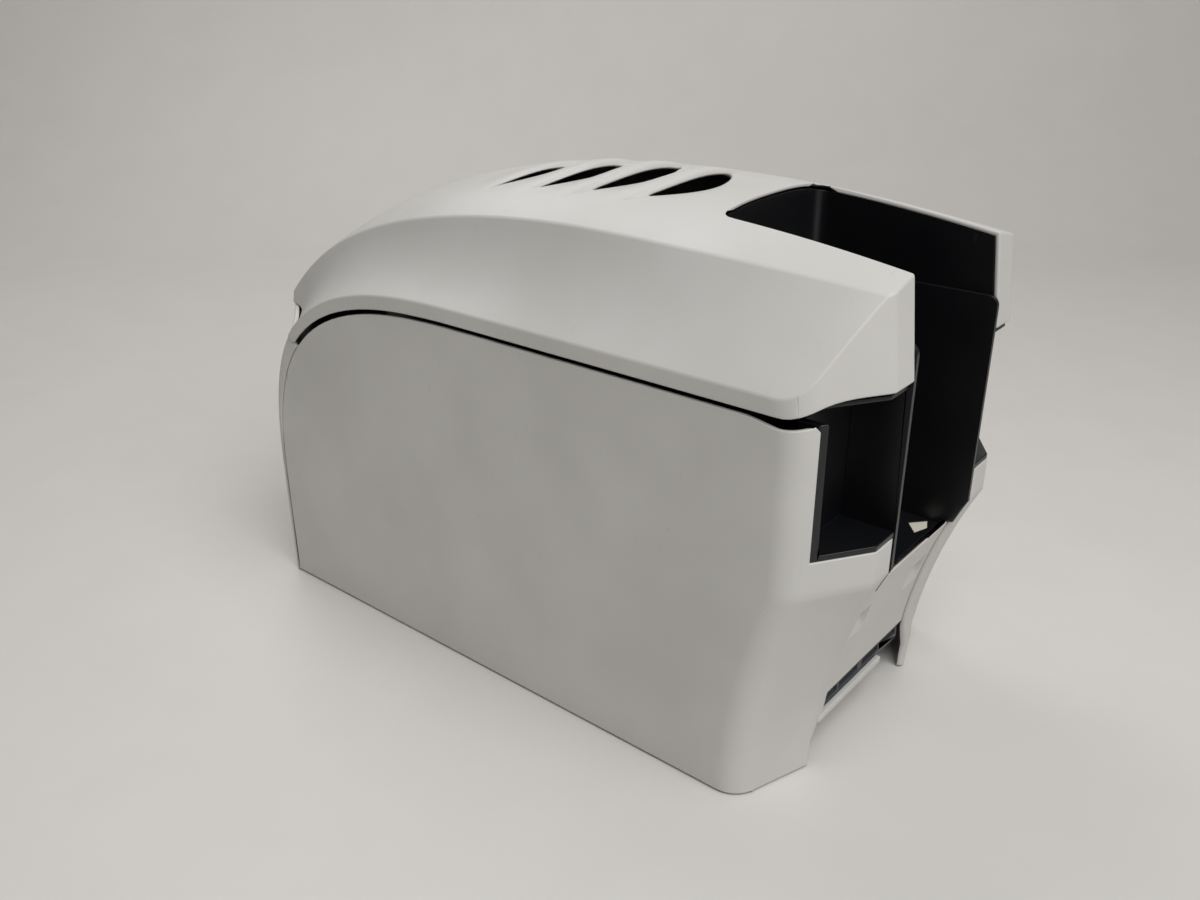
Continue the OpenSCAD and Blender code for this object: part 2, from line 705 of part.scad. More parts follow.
module motor_pinion() {
    color("#b08d3f") gear(pinion_teeth, 90 - 180 / pinion_teeth, idler_ys[1], pinion_z, 0.01 + motor_shaft_r);
    color(steel) along_x(frame_x - 6, gear_x + gear_w, idler_ys[1], pinion_z, motor_shaft_r);
}
module feed_motor() {
    color("#303236") difference() {
        block([frame_x - 36, idler_ys[1] - motor_side / 2, pinion_z - motor_side / 2],
            [frame_x, idler_ys[1] + motor_side / 2, pinion_z + motor_side / 2]);
        along_x(frame_x - 7, frame_x + 1, idler_ys[1], pinion_z, motor_shaft_r + run_fit);
    }
}
module nip_roller(y) {
    color(steel) along_x(-frame_out - 1, frame_out + 0.5, y, pinch_z, pinch_shaft);
}
module cleaning_roller() {
    nip_roller(roller_ys[1]);
    color("#5f8fb5") ring_x(-roller_half, roller_half, roller_ys[1], pinch_z, pinch_r, pinch_shaft);
}
module pinch_roller() {
    nip_roller(roller_ys[3]);
    color(rubber) for (x = [-roller_half, 14]) ring_x(x, x + 28, roller_ys[3], pinch_z, pinch_r, pinch_shaft);
}

// ---------- ribbon ----------
module spool(y) {
    along_x(-frame_out - 1, frame_out + 1, y, spool_z, stub_r);
    along_x(-frame_x + 1, frame_x - 1, y, spool_z, core_r);
    for (x = [-spool_half - 3, spool_half + 1]) along_x(x, x + 2, y, spool_z, core_r + 5);
}
module supply_spool() {
    color(nylon) spool(spool_y);
}
module takeup_spool() {
    color(nylon) spool(-spool_y);
}
module supply_ribbon() {
    color("#2b2440") ring_x(-film_half, film_half, spool_y, spool_z, supply_r, core_r);
}
module takeup_ribbon() {
    color("#2b2440") ring_x(-film_half, film_half, -spool_y, spool_z, takeup_r, core_r);
}
module film_leg(s, r) {
    // straight run from a guide bar up to the inner side of a roll
    a = [s * (bar_y + bar_r + 0.3), film_z + bar_r + film_t];
    b = [s * (spool_y - r - 0.5), spool_z - 6];
    d = unit(b - a);
    n = film_t * [d.y, -d.x];
    polygon([a, b, b + n, a + n]);
}
module ribbon_film() {
    color("#2b2440") side_extrude(-film_half, film_half) union() {
        translate([-bar_y, film_z]) square([2 * bar_y, film_t]);
        for (s = [-1, 1]) intersection() {
            translate([s * bar_y, film_z + film_t + bar_r]) difference() {
                circle(r = bar_r + 0.3 + film_t);
                circle(r = bar_r + 0.3);
            }
            translate([s > 0 ? bar_y : -bar_y - 10, film_z - 1]) square([10, bar_r + 1 + film_t]);
        }
        film_leg(1, supply_r);
        film_leg(-1, takeup_r);
    }
}
module film_bars() {
    color(steel) for (s = [-1, 1]) along_x(-frame_x, frame_x, s * bar_y, film_z + film_t + bar_r, bar_r);
}
ribbon_motor_r = 15;
module ribbon_motor() {
    color("#303236") along_x(-frame_out - 30, -frame_out - 1.4, -spool_y, spool_z, ribbon_motor_r);
    color(steel) for (a = [45, 225])
        along_x(-frame_out - 1.4, -frame_out, -spool_y + 12 * cos(a), spool_z + 12 * sin(a), 2);
}

// ---------- electrics ----------
module power_supply() {
    color(steel) block([-52, roller_ys[3] + 4, frame_z], [52, frame_back - 24, frame_z + 46]);
}
board_y0 = -20;
board_y1 = 130;
board_z0 = 22;
board_z1 = 96;
module main_board() {
    color("#1f5a38") block([-frame_out - 6, board_y0, board_z0], [-frame_out - 4.4, board_y1, board_z1]);
    color(steel) for (y = [board_y0 + 6, board_y1 - 6], z = [board_z0 + 6, board_z1 - 6])
        along_x(-frame_out - 4.4, -frame_out, y, z, 2.5);
}
module socket_board() {
    color("#1f5a38") block([-34, back_y - 44, socket_z - 1.8], [20, back_y - wall - 0.4, socket_z - 0.2]);
    color(steel) for (x = [-30, 16], y = [back_y - 37, back_y - 10])
        translate([x, y, frame_z]) cylinder(h = socket_z - 1.8 - frame_z, r = 2.5);
}
module board_parts() {
    x = -frame_out - 6;
    color(dark) {
        block([x - 2, 20, 50], [x, 46, 76]);
        block([x - 1.4, 60, 40], [x, 74, 60]);
        for (i = [0:3]) block([x - 8, 82 + i * 11, 80], [x, 90 + i * 11, 87]);
    }
    color(steel) for (y = [0, 14]) along_x(x - 12, x, y, 44, 5);
}
module data_sockets() {
    color(steel) for (s = [[usb_x, 12, 11], [lan_x, 16, 13.5]]) difference() {
        block([s[0] - s[1] / 2, back_y - 17, socket_z - 0.2], [s[0] + s[1] / 2, back_y - 0.4, socket_z - 0.2 + s[2]]);
        block([s[0] - s[1] / 2 + 1.4, back_y - 12, socket_z + 1.4],
            [s[0] + s[1] / 2 - 1.4, back_y + 1, socket_z - 1.8 + s[2]]);
    }
}
rocker_pin_r = 1.5;
module switch_body() {
    difference() {
        union() {
            block([inlet_x - switch_w / 2 + 0.2, back_y - 16, switch_z - switch_h / 2 + 0.2],
                [inlet_x + switch_w / 2 - 0.2, back_y, switch_z + switch_h / 2 - 0.2]);
            block([inlet_x - switch_w / 2 - 2, back_y, switch_z - switch_h / 2 - 2],
                [inlet_x + switch_w / 2 + 2, back_y + 1.4, switch_z + switch_h / 2 + 2]);
        }
        block([inlet_x - switch_w / 2 + 2, back_y - 12, switch_z - switch_h / 2 + 2],
            [inlet_x + switch_w / 2 - 2, back_y + 3, switch_z + switch_h / 2 - 2]);
    }
}
module power_inlet() {
    color(dark) {
        switch_body();
        translate([inlet_x, back_y - 5, switch_z - switch_h / 2 + 1]) cylinder(h = switch_h - 2, r = rocker_pin_r);
        difference() {
            union() {
                block([inlet_x - inlet_w / 2 + 0.3, back_y - 22, inlet_z - inlet_h / 2 + 0.3],
                    [inlet_x + inlet_w / 2 - 0.3, back_y, inlet_z + inlet_h / 2 - 0.3]);
                block([inlet_x - inlet_w / 2 - 3, back_y, inlet_z - inlet_h / 2 - 3],
                    [inlet_x + inlet_w / 2 + 3, back_y + 1.6, inlet_z + inlet_h / 2 + 3]);
            }
            block([inlet_x - 11, back_y - 16, inlet_z - 7.5], [inlet_x + 11, back_y + 2, inlet_z + 7.5]);
        }
    }
    color(steel) for (p = [[-6, -2], [0, 2], [6, -2]])
        block([inlet_x + p.x - 1, back_y - 16, inlet_z + p.y - 2], [inlet_x + p.x + 1, back_y - 5, inlet_z + p.y + 2]);
}
module power_switch() {
    // rocker on an upright pin
    h = switch_h - 4.8;
    color("#101112") translate([inlet_x, back_y - 5, switch_z - h / 2]) difference() {
        intersection() {
            cylinder(h = h, r = 7.9);
            translate([-10, -4, 0]) cube([20, 10.6, h]);
        }
        translate([0, 34, -1]) cylinder(h = h + 2, r = 28.6);
        translate([0, 0, -1]) cylinder(h = h + 2, r = rocker_pin_r + run_fit);
    }
}
module fan_frame() {
    color(dark) {
        difference() {
            block([fan_x - 26, back_y - wall - 12.4, fan_z - 26], [fan_x + 26, back_y - wall - 0.4, fan_z + 26]);
            translate([fan_x, back_y - 8, fan_z]) rotate([90, 0, 0]) cylinder(h = 30, r = fan_r + 1, center = true);
        }
        translate([fan_x, back_y - wall - 10.4, fan_z]) rotate([90, 0, 0]) cylinder(h = 2, r = 10);
        for (a = [0, 90]) translate([fan_x, back_y - wall - 11.4, fan_z]) rotate([0, a, 0])
            cube([2 * fan_r + 2.4, 2, 3], center = true);
        translate([fan_x, back_y - wall - 3, fan_z]) rotate([90, 0, 0]) cylinder(h = 8, r = 1.5);
    }
}
blades = 7;
module fan_rotor() {
    color(dark) translate([fan_x, back_y - wall - 2, fan_z]) rotate([90, 0, 0]) difference() {
        union() {
            cylinder(h = 7.6, r = 9);
            for (i = [0:blades - 1]) rotate([0, 0, i * 360 / blades])
                translate([(9 + fan_r) / 2 - 0.5, 0, 3.8]) rotate([38, 0, 0])
                    cube([fan_r - 9, 8.5, 1.2], center = true);
        }
        translate([0, 0, -1]) cylinder(h = 12, r = 1.5 + run_fit);
    }
}
module control_button() {
    color("#3a78b0") union() {
        along_x(half_w - 7.6, half_w + 1.4, button_y, button_z, button_r);
        along_x(half_w - wall - 1.9, half_w - wall - 0.3, button_y, button_z, button_r + 1.6);
    }
}
module button_board() {
    x = half_w - 14;
    color("#1f5a38") block([x, button_y - 14, button_z - 10], [x + 1.6, light_y + 6, button_z + 10]);
    color(dark) block([x + 1.6, button_y - 3, button_z - 3], [x + 5, button_y + 3, button_z + 3]);
    color("#dfe8c8") along_x(x + 1.6, half_w + 0.2, light_y, button_z, light_r - 0.1);
    color(steel) for (y = [button_y - 11, light_y + 3], z = [button_z - 7, button_z + 7])
        along_x(x + 1.6, half_w - wall, y, z, 2);
}
module lid_sensor() {
    color(dark) {
        block([frame_out, spool_y + 20, frame_top - 14], [frame_out + 7, spool_y + 42, pan_z - 8]);
        for (y = [spool_y + 22, spool_y + 34])
            block([frame_out + 1, y, pan_z - 8], [frame_out + 6, y + 6, pan_z - 4]);
    }
}
rest_y = hop_back + 22;
module lid_rests() {
    color(rubber) for (s = [-1, 1]) difference() {
        translate([s * (frame_x + frame_t / 2), rest_y, (frame_top - 8 + pan_z - fit) / 2])
            cube([frame_t + 6, 14, pan_z - fit - frame_top + 8], center = true);
        block([s > 0 ? frame_x : -frame_out, rest_y - 8, frame_top - 20], [s > 0 ? frame_out : -frame_x, rest_y + 8, frame_top]);
    }
}

// ---------- hinges ----------
module base_ranges(x) {
    for (s = [-1, 1]) {
        a = x + s * (lid_knuckle / 2 + 0.2);
        b = a + s * base_knuckle;
        hinge_barrel(min(a, b), max(a, b));
    }
}
module hinge_barrel(a, b) {
    difference() {
        union() {
            along_x(a, b, hinge_y, hinge_z, knuckle_r);
            block([a, hinge_y - wall - leaf_t, hinge_z - 20], [b, hinge_y - wall, hinge_z]);
            block([a, hinge_y - wall - 0.1, hinge_z - 4], [b, hinge_y - 1, hinge_z]);
        }
        along_x(a - 1, b + 1, hinge_y, hinge_z, pin_r);
    }
}
module hinge_brackets() {
    color(steel) for (x = [-hinge_x, hinge_x]) base_ranges(x);
}
module hinge_pins() {
    reach = lid_knuckle / 2 + base_knuckle + 0.2;
    color(steel) for (x = [-hinge_x, hinge_x]) along_x(x - reach, x + reach, hinge_y, hinge_z, pin_r);
}
module lid_hinge_leaves() {
    color(steel) for (x = [-hinge_x, hinge_x]) difference() {
        union() {
            along_x(x - lid_knuckle / 2, x + lid_knuckle / 2, hinge_y, hinge_z, knuckle_r);
            block([x - lid_knuckle / 2, hinge_y - wall - 0.1 - leaf_t, hinge_z + 0.4],
                [x + lid_knuckle / 2, hinge_y - wall - 0.1, hinge_z + 9]);
            block([x - lid_knuckle / 2, hinge_y - wall - 0.2, hinge_z + 0.4], [x + lid_knuckle / 2, hinge_y, hinge_z + 3.6]);
        }
        along_x(x - lid_knuckle, x + lid_knuckle, hinge_y, hinge_z, pin_r + run_fit);
    }
}

// ---------- lid ----------
lid_ys = [front_y - 1, -190, -165, -140, -110, -80, -47, -15, 15, 45, 70, 90, 108, 124, 138, 150, 160, 169, 177,
    184, 190, 195.5, back_y + 3];
crown_steps = 12;
function lid_ring(y, t) =
    let (w = lid_w - t, zt = curve_top(min(y, back_y - 8), rear_a, rear_b) - 0.28 * t,
         xr = ridge_half(y) - 0.62 * t, zr = ridge_at(y) - 0.89 * t, bow = bow_at(y),
         c = crown_at(y) - 0.11 * t,
         n = unit([zr - zt, w - xr]),
         left = concat([[-w, zt - 40], [-w, zt]],
            [for (s = [0.25, 0.5, 0.75])
                [-w + s * (w - xr), zt + s * (zr - zt)] + bow * 4 * s * (1 - s) * [n.x, -n.y]]),
         right = [for (i = [len(left) - 1:-1:0]) [-left[i].x, left[i].y]],
         crown = [for (i = [0:crown_steps]) let (u = -1 + 2 * i / crown_steps)
             [xr * u, zr + c * (1 - pow(abs(u), crown_power))]])
    [for (p = concat(left, crown, right)) [p.x, y, p.y]];
function lid_plan(z, t, over) =
    let (k = front_y - band_y + lid_lean * (z - side_h - lid_gap - lid_front_lift) / 50, f = [for (p = front_left(crease_z, lid_w, t)) [p.x, p.y + k]],
         out = lid_w + over)
    at_z(concat([[-out, back_y - t], [-out, f[0].y], [-lid_w + t, f[0].y]], f,
        flip(f), [[lid_w - t, f[0].y], [out, f[0].y], [out, back_y - t]]), z);
module lid_mass(t, over) {
    intersection() {
        skin([for (y = lid_ys) lid_ring(y, t)]);
        skin([lid_plan(side_h - 80, t, over), lid_plan(ridge_z + 40, t, over)]);
    }
}
lip_x = -12;                     // the louvres lie a little to the left
lip_half = 43;
lip_reach = 30;
lip_first = slot_back + 35;
lip_share = [0.96, 1, 0.87, 0.58, 0.5];
function lip_rise(x) = lip_h * pow(max(0, 1 - pow((x - lip_x) / lip_half, 2)), 1.2);
function lip_bend(x) = 10.5 * pow(abs(x) / 42, 3);
sink = 0.9;                      // the lip's edges run under the lid's skin
module lip(i, t, reach) {
    n = 16;
    y0 = lip_first + i * lip_pitch - (t > 0 ? 0.5 : 0);
    skin([for (k = [0:n])
        let (x = lip_x + reach * (2 * k / n - 1), h = lip_share[i] * lip_rise(x) - sink - t,
             y = y0 + lip_bend(x))
        [[x, y, top_at(x, y) - 3 - 2 * t], [x, y + 21, top_at(x, y + 21) - 3 - 2 * t],
         [x, y + 21, top_at(x, y + 21) - sink - t],
         [x, y + 5, top_at(x, y + 5) - sink - t + (h + sink + t) * 0.8], [x, y, top_at(x, y) + h]]]);
}
module lid_shell() {
    color(plastic) difference() {
        union() {
            difference() {
                lid_mass(0, 5);
                lid_mass(wall, 5);
            }
            for (i = [0:lips - 1]) lip(i, 0, lip_half);
        }
        for (i = [0:lips - 1]) lip(i, 1.3, lip_reach);
        side_extrude(-lid_w - 5, lid_w + 5) under_curve(lid_a, lid_b);
        side_extrude(-lid_w - 5, lid_w + 5) difference() {
            translate([front_y - 30, -10]) square([shell_l + 80, 500]);
            above_seam(seam_gap / 2);
        }
        // rising lower edge over the pockets
        for (s = [0, 1]) mirror([s, 0, 0]) translate([0, front_y + 30, curve_z + lid_b])
            rotate([90, 0, 0]) linear_extrude(40)
                polygon([[0.1, -2], [0.1, lid_front_lift], [-band_x_top, lid_front_lift],
                    [-lid_w + 17, lid_front_lift - 0.6], [-lid_w + 8, lid_front_lift - 3.1],
                    [-lid_w + 3, lid_front_lift - 5.6], [-lid_w + 0.5, -1], [-lid_w + 0.5, -2]]);
        // card opening
        block([-slot_x, front_y - 20, side_h], [slot_x, slot_back - slot_r, ridge_z + 60]);
        block([-slot_x + slot_r, slot_back - slot_r - 1, side_h], [slot_x - slot_r, slot_back, ridge_z + 60]);
        for (s = [-1, 1]) translate([s * (slot_x - slot_r), slot_back - slot_r, side_h])
            cylinder(h = 130, r = slot_r);
        for (x = [-hinge_x, hinge_x])
            block([x - lid_knuckle / 2 - base_knuckle - 0.6, back_y - wall - 1, hinge_z - 2],
                [x + lid_knuckle / 2 + base_knuckle + 0.6, back_y + 2, hinge_z + knuckle_r + 0.5]);
    }
}
liner_t = 2;
module slot_wall(g) {
    block([-slot_x - g, front_y - 20, -1], [slot_x + g, slot_back - slot_r, 500]);
    block([-slot_x + slot_r, slot_back - slot_r - 1, -1], [slot_x - slot_r, slot_back + g, 500]);
    for (s = [-1, 1]) translate([s * (slot_x - slot_r), slot_back - slot_r, -1]) cylinder(h = 501, r = slot_r + g);
}
module lid_liner() {
    color(dark) difference() {
        intersection() {
            lid_mass(wall + 0.1, 0);
            union() {
                block([-lid_w, front_y, pan_z], [lid_w, back_y - 30, pan_z + 2]);
                difference() {
                    block([-slot_x - 4, front_y, pan_z], [slot_x + 4, slot_back + 4, ridge_z + 30]);
                    difference() {
                        block([-200, front_y - 1, 0], [200, slot_back + 30, 500]);
                        slot_wall(liner_t + 0.3);
                    }
                }
            }
        }
        slot_wall(0.3);
    }
}

// ---------- print head ----------
head_half = 46;
bracket_x = 50;
head_low = film_z + film_t + 0.3;
bridge_z = head_low + 34;
module head_bracket() {
    color(steel) {
        block([-bracket_x - 2, -12, pan_z - 2], [bracket_x + 2, 12, pan_z]);
        for (s = [-1, 1])
            block([s > 0 ? bracket_x : -bracket_x - 2, -12, head_low + 6], [s > 0 ? bracket_x + 2 : -bracket_x, 12, pan_z - 2]);
        block([-bracket_x, -12, bridge_z], [bracket_x, 12, bridge_z + 2]);
    }
}
spring_r = 4;
spring_x = 28;
module head_springs() {
    turns = 4;
    steps = 40;
    h = bridge_z - (head_low + 15);
    color(steel) for (s = [-1, 1]) translate([s * spring_x, 0, head_low + 15])
        skin([for (i = [0:steps]) let (a = 360 * turns * i / steps, z = 0.6 + (h - 1.2) * i / steps)
            [for (k = [0:4]) let (b = -72 * k, r = spring_r + 0.5 * cos(b))
                [r * cos(a), r * sin(a), z + 0.5 * sin(b)]]]);
}
module print_head() {
    color("#6c7076") {
        block([-head_half, -9, head_low + 3], [head_half, 9, head_low + 15]);
        for (s = [-1, 1])
            block([s > 0 ? head_half : -head_half - 3.6, -4, head_low + 5],
                [s > 0 ? head_half + 3.6 : -head_half, 4, head_low + 11]);
    }
    color(nylon) block([-head_half + 2, -3, head_low], [head_half - 2, 3, head_low + 3]);
}

base_tray();
rubber_feet();
left_cover();
right_cover();
rear_cover();
cover_screws();
front_bezel();
slit_frame();
hopper_walls();
hopper_floor();
left_pocket();
right_pocket();
card_bin();
front_flap();
flap_pins();
left_frame();
right_frame();
tie_rods();
roller_bushes();
idler_pins();
card_guides();
pick_roller();
feed_roller();
platen_roller();
exit_roller();
pick_idler();
feed_idler();
exit_idler();
motor_pinion();
feed_motor();
cleaning_roller();
pinch_roller();
supply_spool();
supply_ribbon();
takeup_spool();
takeup_ribbon();
ribbon_film();
film_bars();
ribbon_motor();
power_supply();
main_board();
board_parts();
socket_board();
data_sockets();
power_inlet();
power_switch();
fan_frame();
fan_rotor();
hinge_brackets();
hinge_pins();
lid_shell();
lid_liner();
lid_hinge_leaves();
head_bracket();
head_springs();
print_head();
control_button();
button_board();
lid_sensor();
lid_rests();
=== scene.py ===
import bmesh
import bpy
import json
import math
import numpy as np
from mathutils import Matrix, Vector


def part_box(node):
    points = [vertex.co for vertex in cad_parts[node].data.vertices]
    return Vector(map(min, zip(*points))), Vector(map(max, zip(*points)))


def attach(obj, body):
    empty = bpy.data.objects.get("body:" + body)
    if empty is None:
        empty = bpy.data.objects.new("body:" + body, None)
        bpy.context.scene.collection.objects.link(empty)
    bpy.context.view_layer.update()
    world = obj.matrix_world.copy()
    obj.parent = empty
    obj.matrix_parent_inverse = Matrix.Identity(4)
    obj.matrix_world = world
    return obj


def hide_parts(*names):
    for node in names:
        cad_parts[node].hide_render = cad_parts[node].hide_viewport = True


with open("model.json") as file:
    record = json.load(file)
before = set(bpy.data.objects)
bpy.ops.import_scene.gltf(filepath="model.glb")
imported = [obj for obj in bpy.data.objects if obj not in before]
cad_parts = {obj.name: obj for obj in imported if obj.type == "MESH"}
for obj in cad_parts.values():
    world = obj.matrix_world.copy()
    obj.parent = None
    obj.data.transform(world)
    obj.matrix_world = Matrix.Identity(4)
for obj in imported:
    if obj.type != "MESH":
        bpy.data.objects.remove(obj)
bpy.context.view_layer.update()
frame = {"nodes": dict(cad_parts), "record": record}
nodes = frame["nodes"]
mm = 0.001

# sizes that the covers and the lid share, in millimetres
body = dict(
    frontY=-205.0, backY=201.0, halfWidth=102.0, creaseZ=124.5, lean=28.0, archX=46.0,
    curveY=8.0, curveZ=56.0, sideA=187.0, sideB=153.0, lidA=190.0, lidB=155.9,
    rearA=193.0, rearB=164.3, cornerR=16.0, floorGap=1.2, wall=2.5, seamDrop=2.0, hingeZ=184.0)
bandY = body["frontY"] + 0.6
arcRadius = (body["creaseZ"] ** 2 + body["lean"] ** 2) / (2 * body["lean"])


# the front leans on an arc: 0 at the floor, 1 at the crease and above it
def leanAt(z):
    z = np.clip(z, 0, body["creaseZ"])
    return (arcRadius - np.sqrt(arcRadius ** 2 - z ** 2)) / body["lean"]


def bandAt(z, back=0.0):
    z = np.clip(z, 0, body["creaseZ"])
    return bandY + body["lean"] - arcRadius + np.sqrt((arcRadius + back) ** 2 - z ** 2)


# half width of the arch between the two front feet
def archIn(z):
    return body["archX"] + 8 * np.clip((34 - z) / 17, 0, 1)


# superellipse of exponent 3, level ahead of its centre: height at a depth, and depth at a height
def curveTop(y, a, b):
    u = np.clip((np.asarray(y, float) - body["curveY"]) / a, 0, 1)
    return body["curveZ"] + b * (1 - u ** 3) ** (1 / 3)


def curveBack(z, a, b):
    u = np.clip((np.asarray(z, float) - body["curveZ"]) / b, 0, 1)
    return body["curveY"] + a * (1 - u ** 3) ** (1 / 3)


def smoothStep(t):
    t = np.clip(t, 0, 1)
    return t * t * (3 - 2 * t)


# point at share f of the arc that rounds a corner with sides along u and v
def filletPoint(corner, u, v, radius, f):
    half = np.arccos(np.clip((u * v).sum(-1, keepdims=True), -1, 1)) / 2
    middle = u + v
    centre = corner + middle / np.linalg.norm(middle, axis=-1, keepdims=True) * radius / np.sin(half)
    start = corner + u * radius / np.tan(half) - centre
    end = corner + v * radius / np.tan(half) - centre
    turn = np.pi - 2 * half
    return centre + (np.sin((1 - f) * turn) * start + np.sin(f * turn) * end) / np.sin(turn)


# plan of the front at height z, left side: q 0-1 rounds the corner, 1-2 and 2-3 follow the slanted
# line to x = split and to the band, 3-4 cross the band to the arch, 4-5 turn round its edge
def frontPoint(z, q, halfWidth, radius, split=-91.8, turn=3.0):
    z, q = np.broadcast_arrays(np.asarray(z, float), np.asarray(q, float))
    a = np.stack([np.full_like(z, -halfWidth), bandY + 25 + 18.4 * (1 - leanAt(z))], -1)
    b = np.stack([-(57 + 7 * leanAt(z)), bandAt(z)], -1)
    v = (b - a) / np.linalg.norm(b - a, axis=-1, keepdims=True)
    u = np.zeros_like(v)
    u[..., 1] = 1
    arc = filletPoint(a, u, v, radius, np.clip(q, 0, 1)[..., None])
    arcEnd = filletPoint(a, u, v, radius, np.ones_like(z)[..., None])
    # the cut stays clear of the corner's end
    cutX = np.maximum(split, arcEnd[..., :1] + 0.8)
    cut = a + v * ((cutX - a[..., :1]) / v[..., :1])
    edge = np.stack([-archIn(z) - turn, bandAt(z)], -1)
    angle = np.pi / 2 * np.clip(q - 4, 0, 1)
    last = edge + turn * np.stack([np.sin(angle), 1 - np.cos(angle)], -1)
    q = q[..., None]
    first = arcEnd + (cut - arcEnd) * np.clip(q - 1, 0, 1)
    second = cut + (b - cut) * np.clip(q - 2, 0, 1)
    third = b + (edge - b) * np.clip(q - 3, 0, 1)
    upper = np.where(q <= 3, second, np.where(q <= 4, third, last))
    return np.where(q <= 1, arc, np.where(q <= 2, first, upper))


# rows by columns of points to quads
def gridQuads(shape, start):
    index = start + np.arange(shape[0] * shape[1]).reshape(shape[:2])
    return np.stack([index[:-1, :-1], index[:-1, 1:], index[1:, 1:], index[1:, :-1]], -1).reshape(-1, 4)


def addObject(name, mesh):
    piece = bpy.data.objects.new(name, mesh)
    bpy.context.scene.collection.objects.link(piece)
    return piece


# grids of points in mm, welded where their borders meet, with faces away from the inside point
def makePiece(name, patches, inside=(0, 0, 110), weld=0.03):
    points = np.concatenate([p.reshape(-1, 3) for p in patches]) * mm
    starts = np.cumsum([0] + [p.shape[0] * p.shape[1] for p in patches[:-1]])
    quads = np.concatenate([gridQuads(p.shape, s) for p, s in zip(patches, starts)])
    mesh = bpy.data.meshes.new(name)
    mesh.from_pydata(points.tolist(), [], quads.tolist())
    form = bmesh.new()
    form.from_mesh(mesh)
    bmesh.ops.remove_doubles(form, verts=form.verts, dist=weld * mm)
    bmesh.ops.dissolve_degenerate(form, edges=form.edges, dist=0.01 * mm)
    bmesh.ops.recalc_face_normals(form, faces=form.faces)
    middle = Vector(inside) * mm
    if sum((f.calc_center_median() - middle).dot(f.normal) * f.calc_area() for f in form.faces) < 0:
        bmesh.ops.reverse_faces(form, faces=form.faces)
    for face in form.faces:
        face.smooth = True
    form.to_mesh(mesh)
    form.free()
    return addObject(name, mesh)


# the modifier stack is applied, so that everything that reads the piece sees one mesh
def applyStack(piece):
    bpy.context.view_layer.update()
    built = bpy.data.meshes.new_from_object(piece.evaluated_get(bpy.context.evaluated_depsgraph_get()))
    piece.modifiers.clear()
    piece.data = built
    built.name = piece.name


# marks the edges where faces turn sharply; each is rounded by at most a share of the room beside it
def weighEdges(piece, edge, angle):
    form = bmesh.new()
    form.from_mesh(piece.data)
    layers = form.edges.layers.float
    weight = layers.get("bevel_weight_edge") or layers.new("bevel_weight_edge")
    for line in form.edges:
        if len(line.link_faces) != 2 or line.calc_face_angle(0) < math.radians(angle):
            line[weight] = 0
            continue
        room = [other.calc_length() for face in line.link_faces for other in face.edges
                if other is not line and (other.verts[0] in line.verts or other.verts[1] in line.verts)]
        line[weight] = min(1, 0.4 * min(room) / (edge * mm))
    form.to_mesh(piece.data)
    form.free()


# a wall inwards, cuts through it, and rounded edges wherever two faces turn sharply
def finishPiece(piece, wall=0.0, edge=0.0, angle=26, segments=3, cutter=None):
    if wall:
        solid = piece.modifiers.new("wall", "SOLIDIFY")
        solid.thickness, solid.offset = wall * mm, -1
        solid.use_even_offset = True
        solid.thickness_clamp = 1.0
    if cutter is not None:
        cut = piece.modifiers.new("cuts", "BOOLEAN")
        cut.object, cut.operation, cut.solver = cutter, "DIFFERENCE", "EXACT"
    if wall or cutter is not None:
        applyStack(piece)
    if cutter is not None:
        bpy.data.objects.remove(cutter)
    if edge:
        weighEdges(piece, edge, angle)
        bevel = piece.modifiers.new("edges", "BEVEL")
        bevel.width, bevel.segments, bevel.limit_method = edge * mm, segments, "WEIGHT"
        bevel.use_clamp_overlap = False
        piece.modifiers.new("shade", "WEIGHTED_NORMAL").keep_sharp = True
        applyStack(piece)
    return piece


# boxes and cylinders joined in one cutting mesh; a cylinder is (centre, direction axis, radius, half length)
def makeCutter(boxes=(), rods=()):
    form = bmesh.new()
    for low, high in boxes:
        low, high = np.array(low, float), np.array(high, float)
        place = Matrix.Translation(Vector((low + high) / 2 * mm)) @ Matrix.Diagonal((*((high - low) * mm), 1))
        bmesh.ops.create_cube(form, size=1, matrix=place)
    for centre, axis, radius, reach in rods:
        turn = Vector(axis).to_track_quat("Z", "Y").to_matrix().to_4x4()
        bmesh.ops.create_cone(form, cap_ends=True, segments=48, radius1=radius * mm, radius2=radius * mm,
                              depth=2 * reach * mm, matrix=Matrix.Translation(Vector(centre) * mm) @ turn)
    mesh = bpy.data.meshes.new("cutter")
    form.to_mesh(mesh)
    form.free()
    return addObject("cutter", mesh)


# a copy of a CAD node with merged points, flat faces joined and its edges rounded
def softened(node, name, edge=0.5, segments=2, angle=30):
    mesh = nodes[node].data.copy()
    form = bmesh.new()
    form.from_mesh(mesh)
    bmesh.ops.remove_doubles(form, verts=form.verts, dist=0.01 * mm)
    bmesh.ops.dissolve_limit(form, angle_limit=math.radians(1), verts=form.verts, edges=form.edges)
    for face in form.faces:
        face.smooth = True
    form.to_mesh(mesh)
    form.free()
    mesh.name = name
    piece = addObject(name, mesh)
    mesh.materials.clear()
    finishPiece(piece, edge=edge, segments=segments, angle=angle)
    place(piece, node)
    return piece


pieceNode = {}


# a piece takes the place of a node, on the node's body and with the node's finish
def place(piece, node):
    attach(piece, bodyOf[node])
    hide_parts(node)
    pieceNode[piece.name] = node


behaviour = frame["record"]["behaviour"]
bodyOf = {n: b for b, members in behaviour["bodies"].items() for n in members}
slotOf = {s["node"]: s["material_slot"] for s in frame["record"]["subparts"]}


def mirrored(patch):
    return patch * np.array([-1.0, 1.0, 1.0])


# side covers
cover = dict(pillarX=-91.8, pocketZ=142.5, topZ=209.0, postZ=208.8, cornerDip=2.6, dipStart=-152.0, chamfer=3.0,
             edge=0.7)


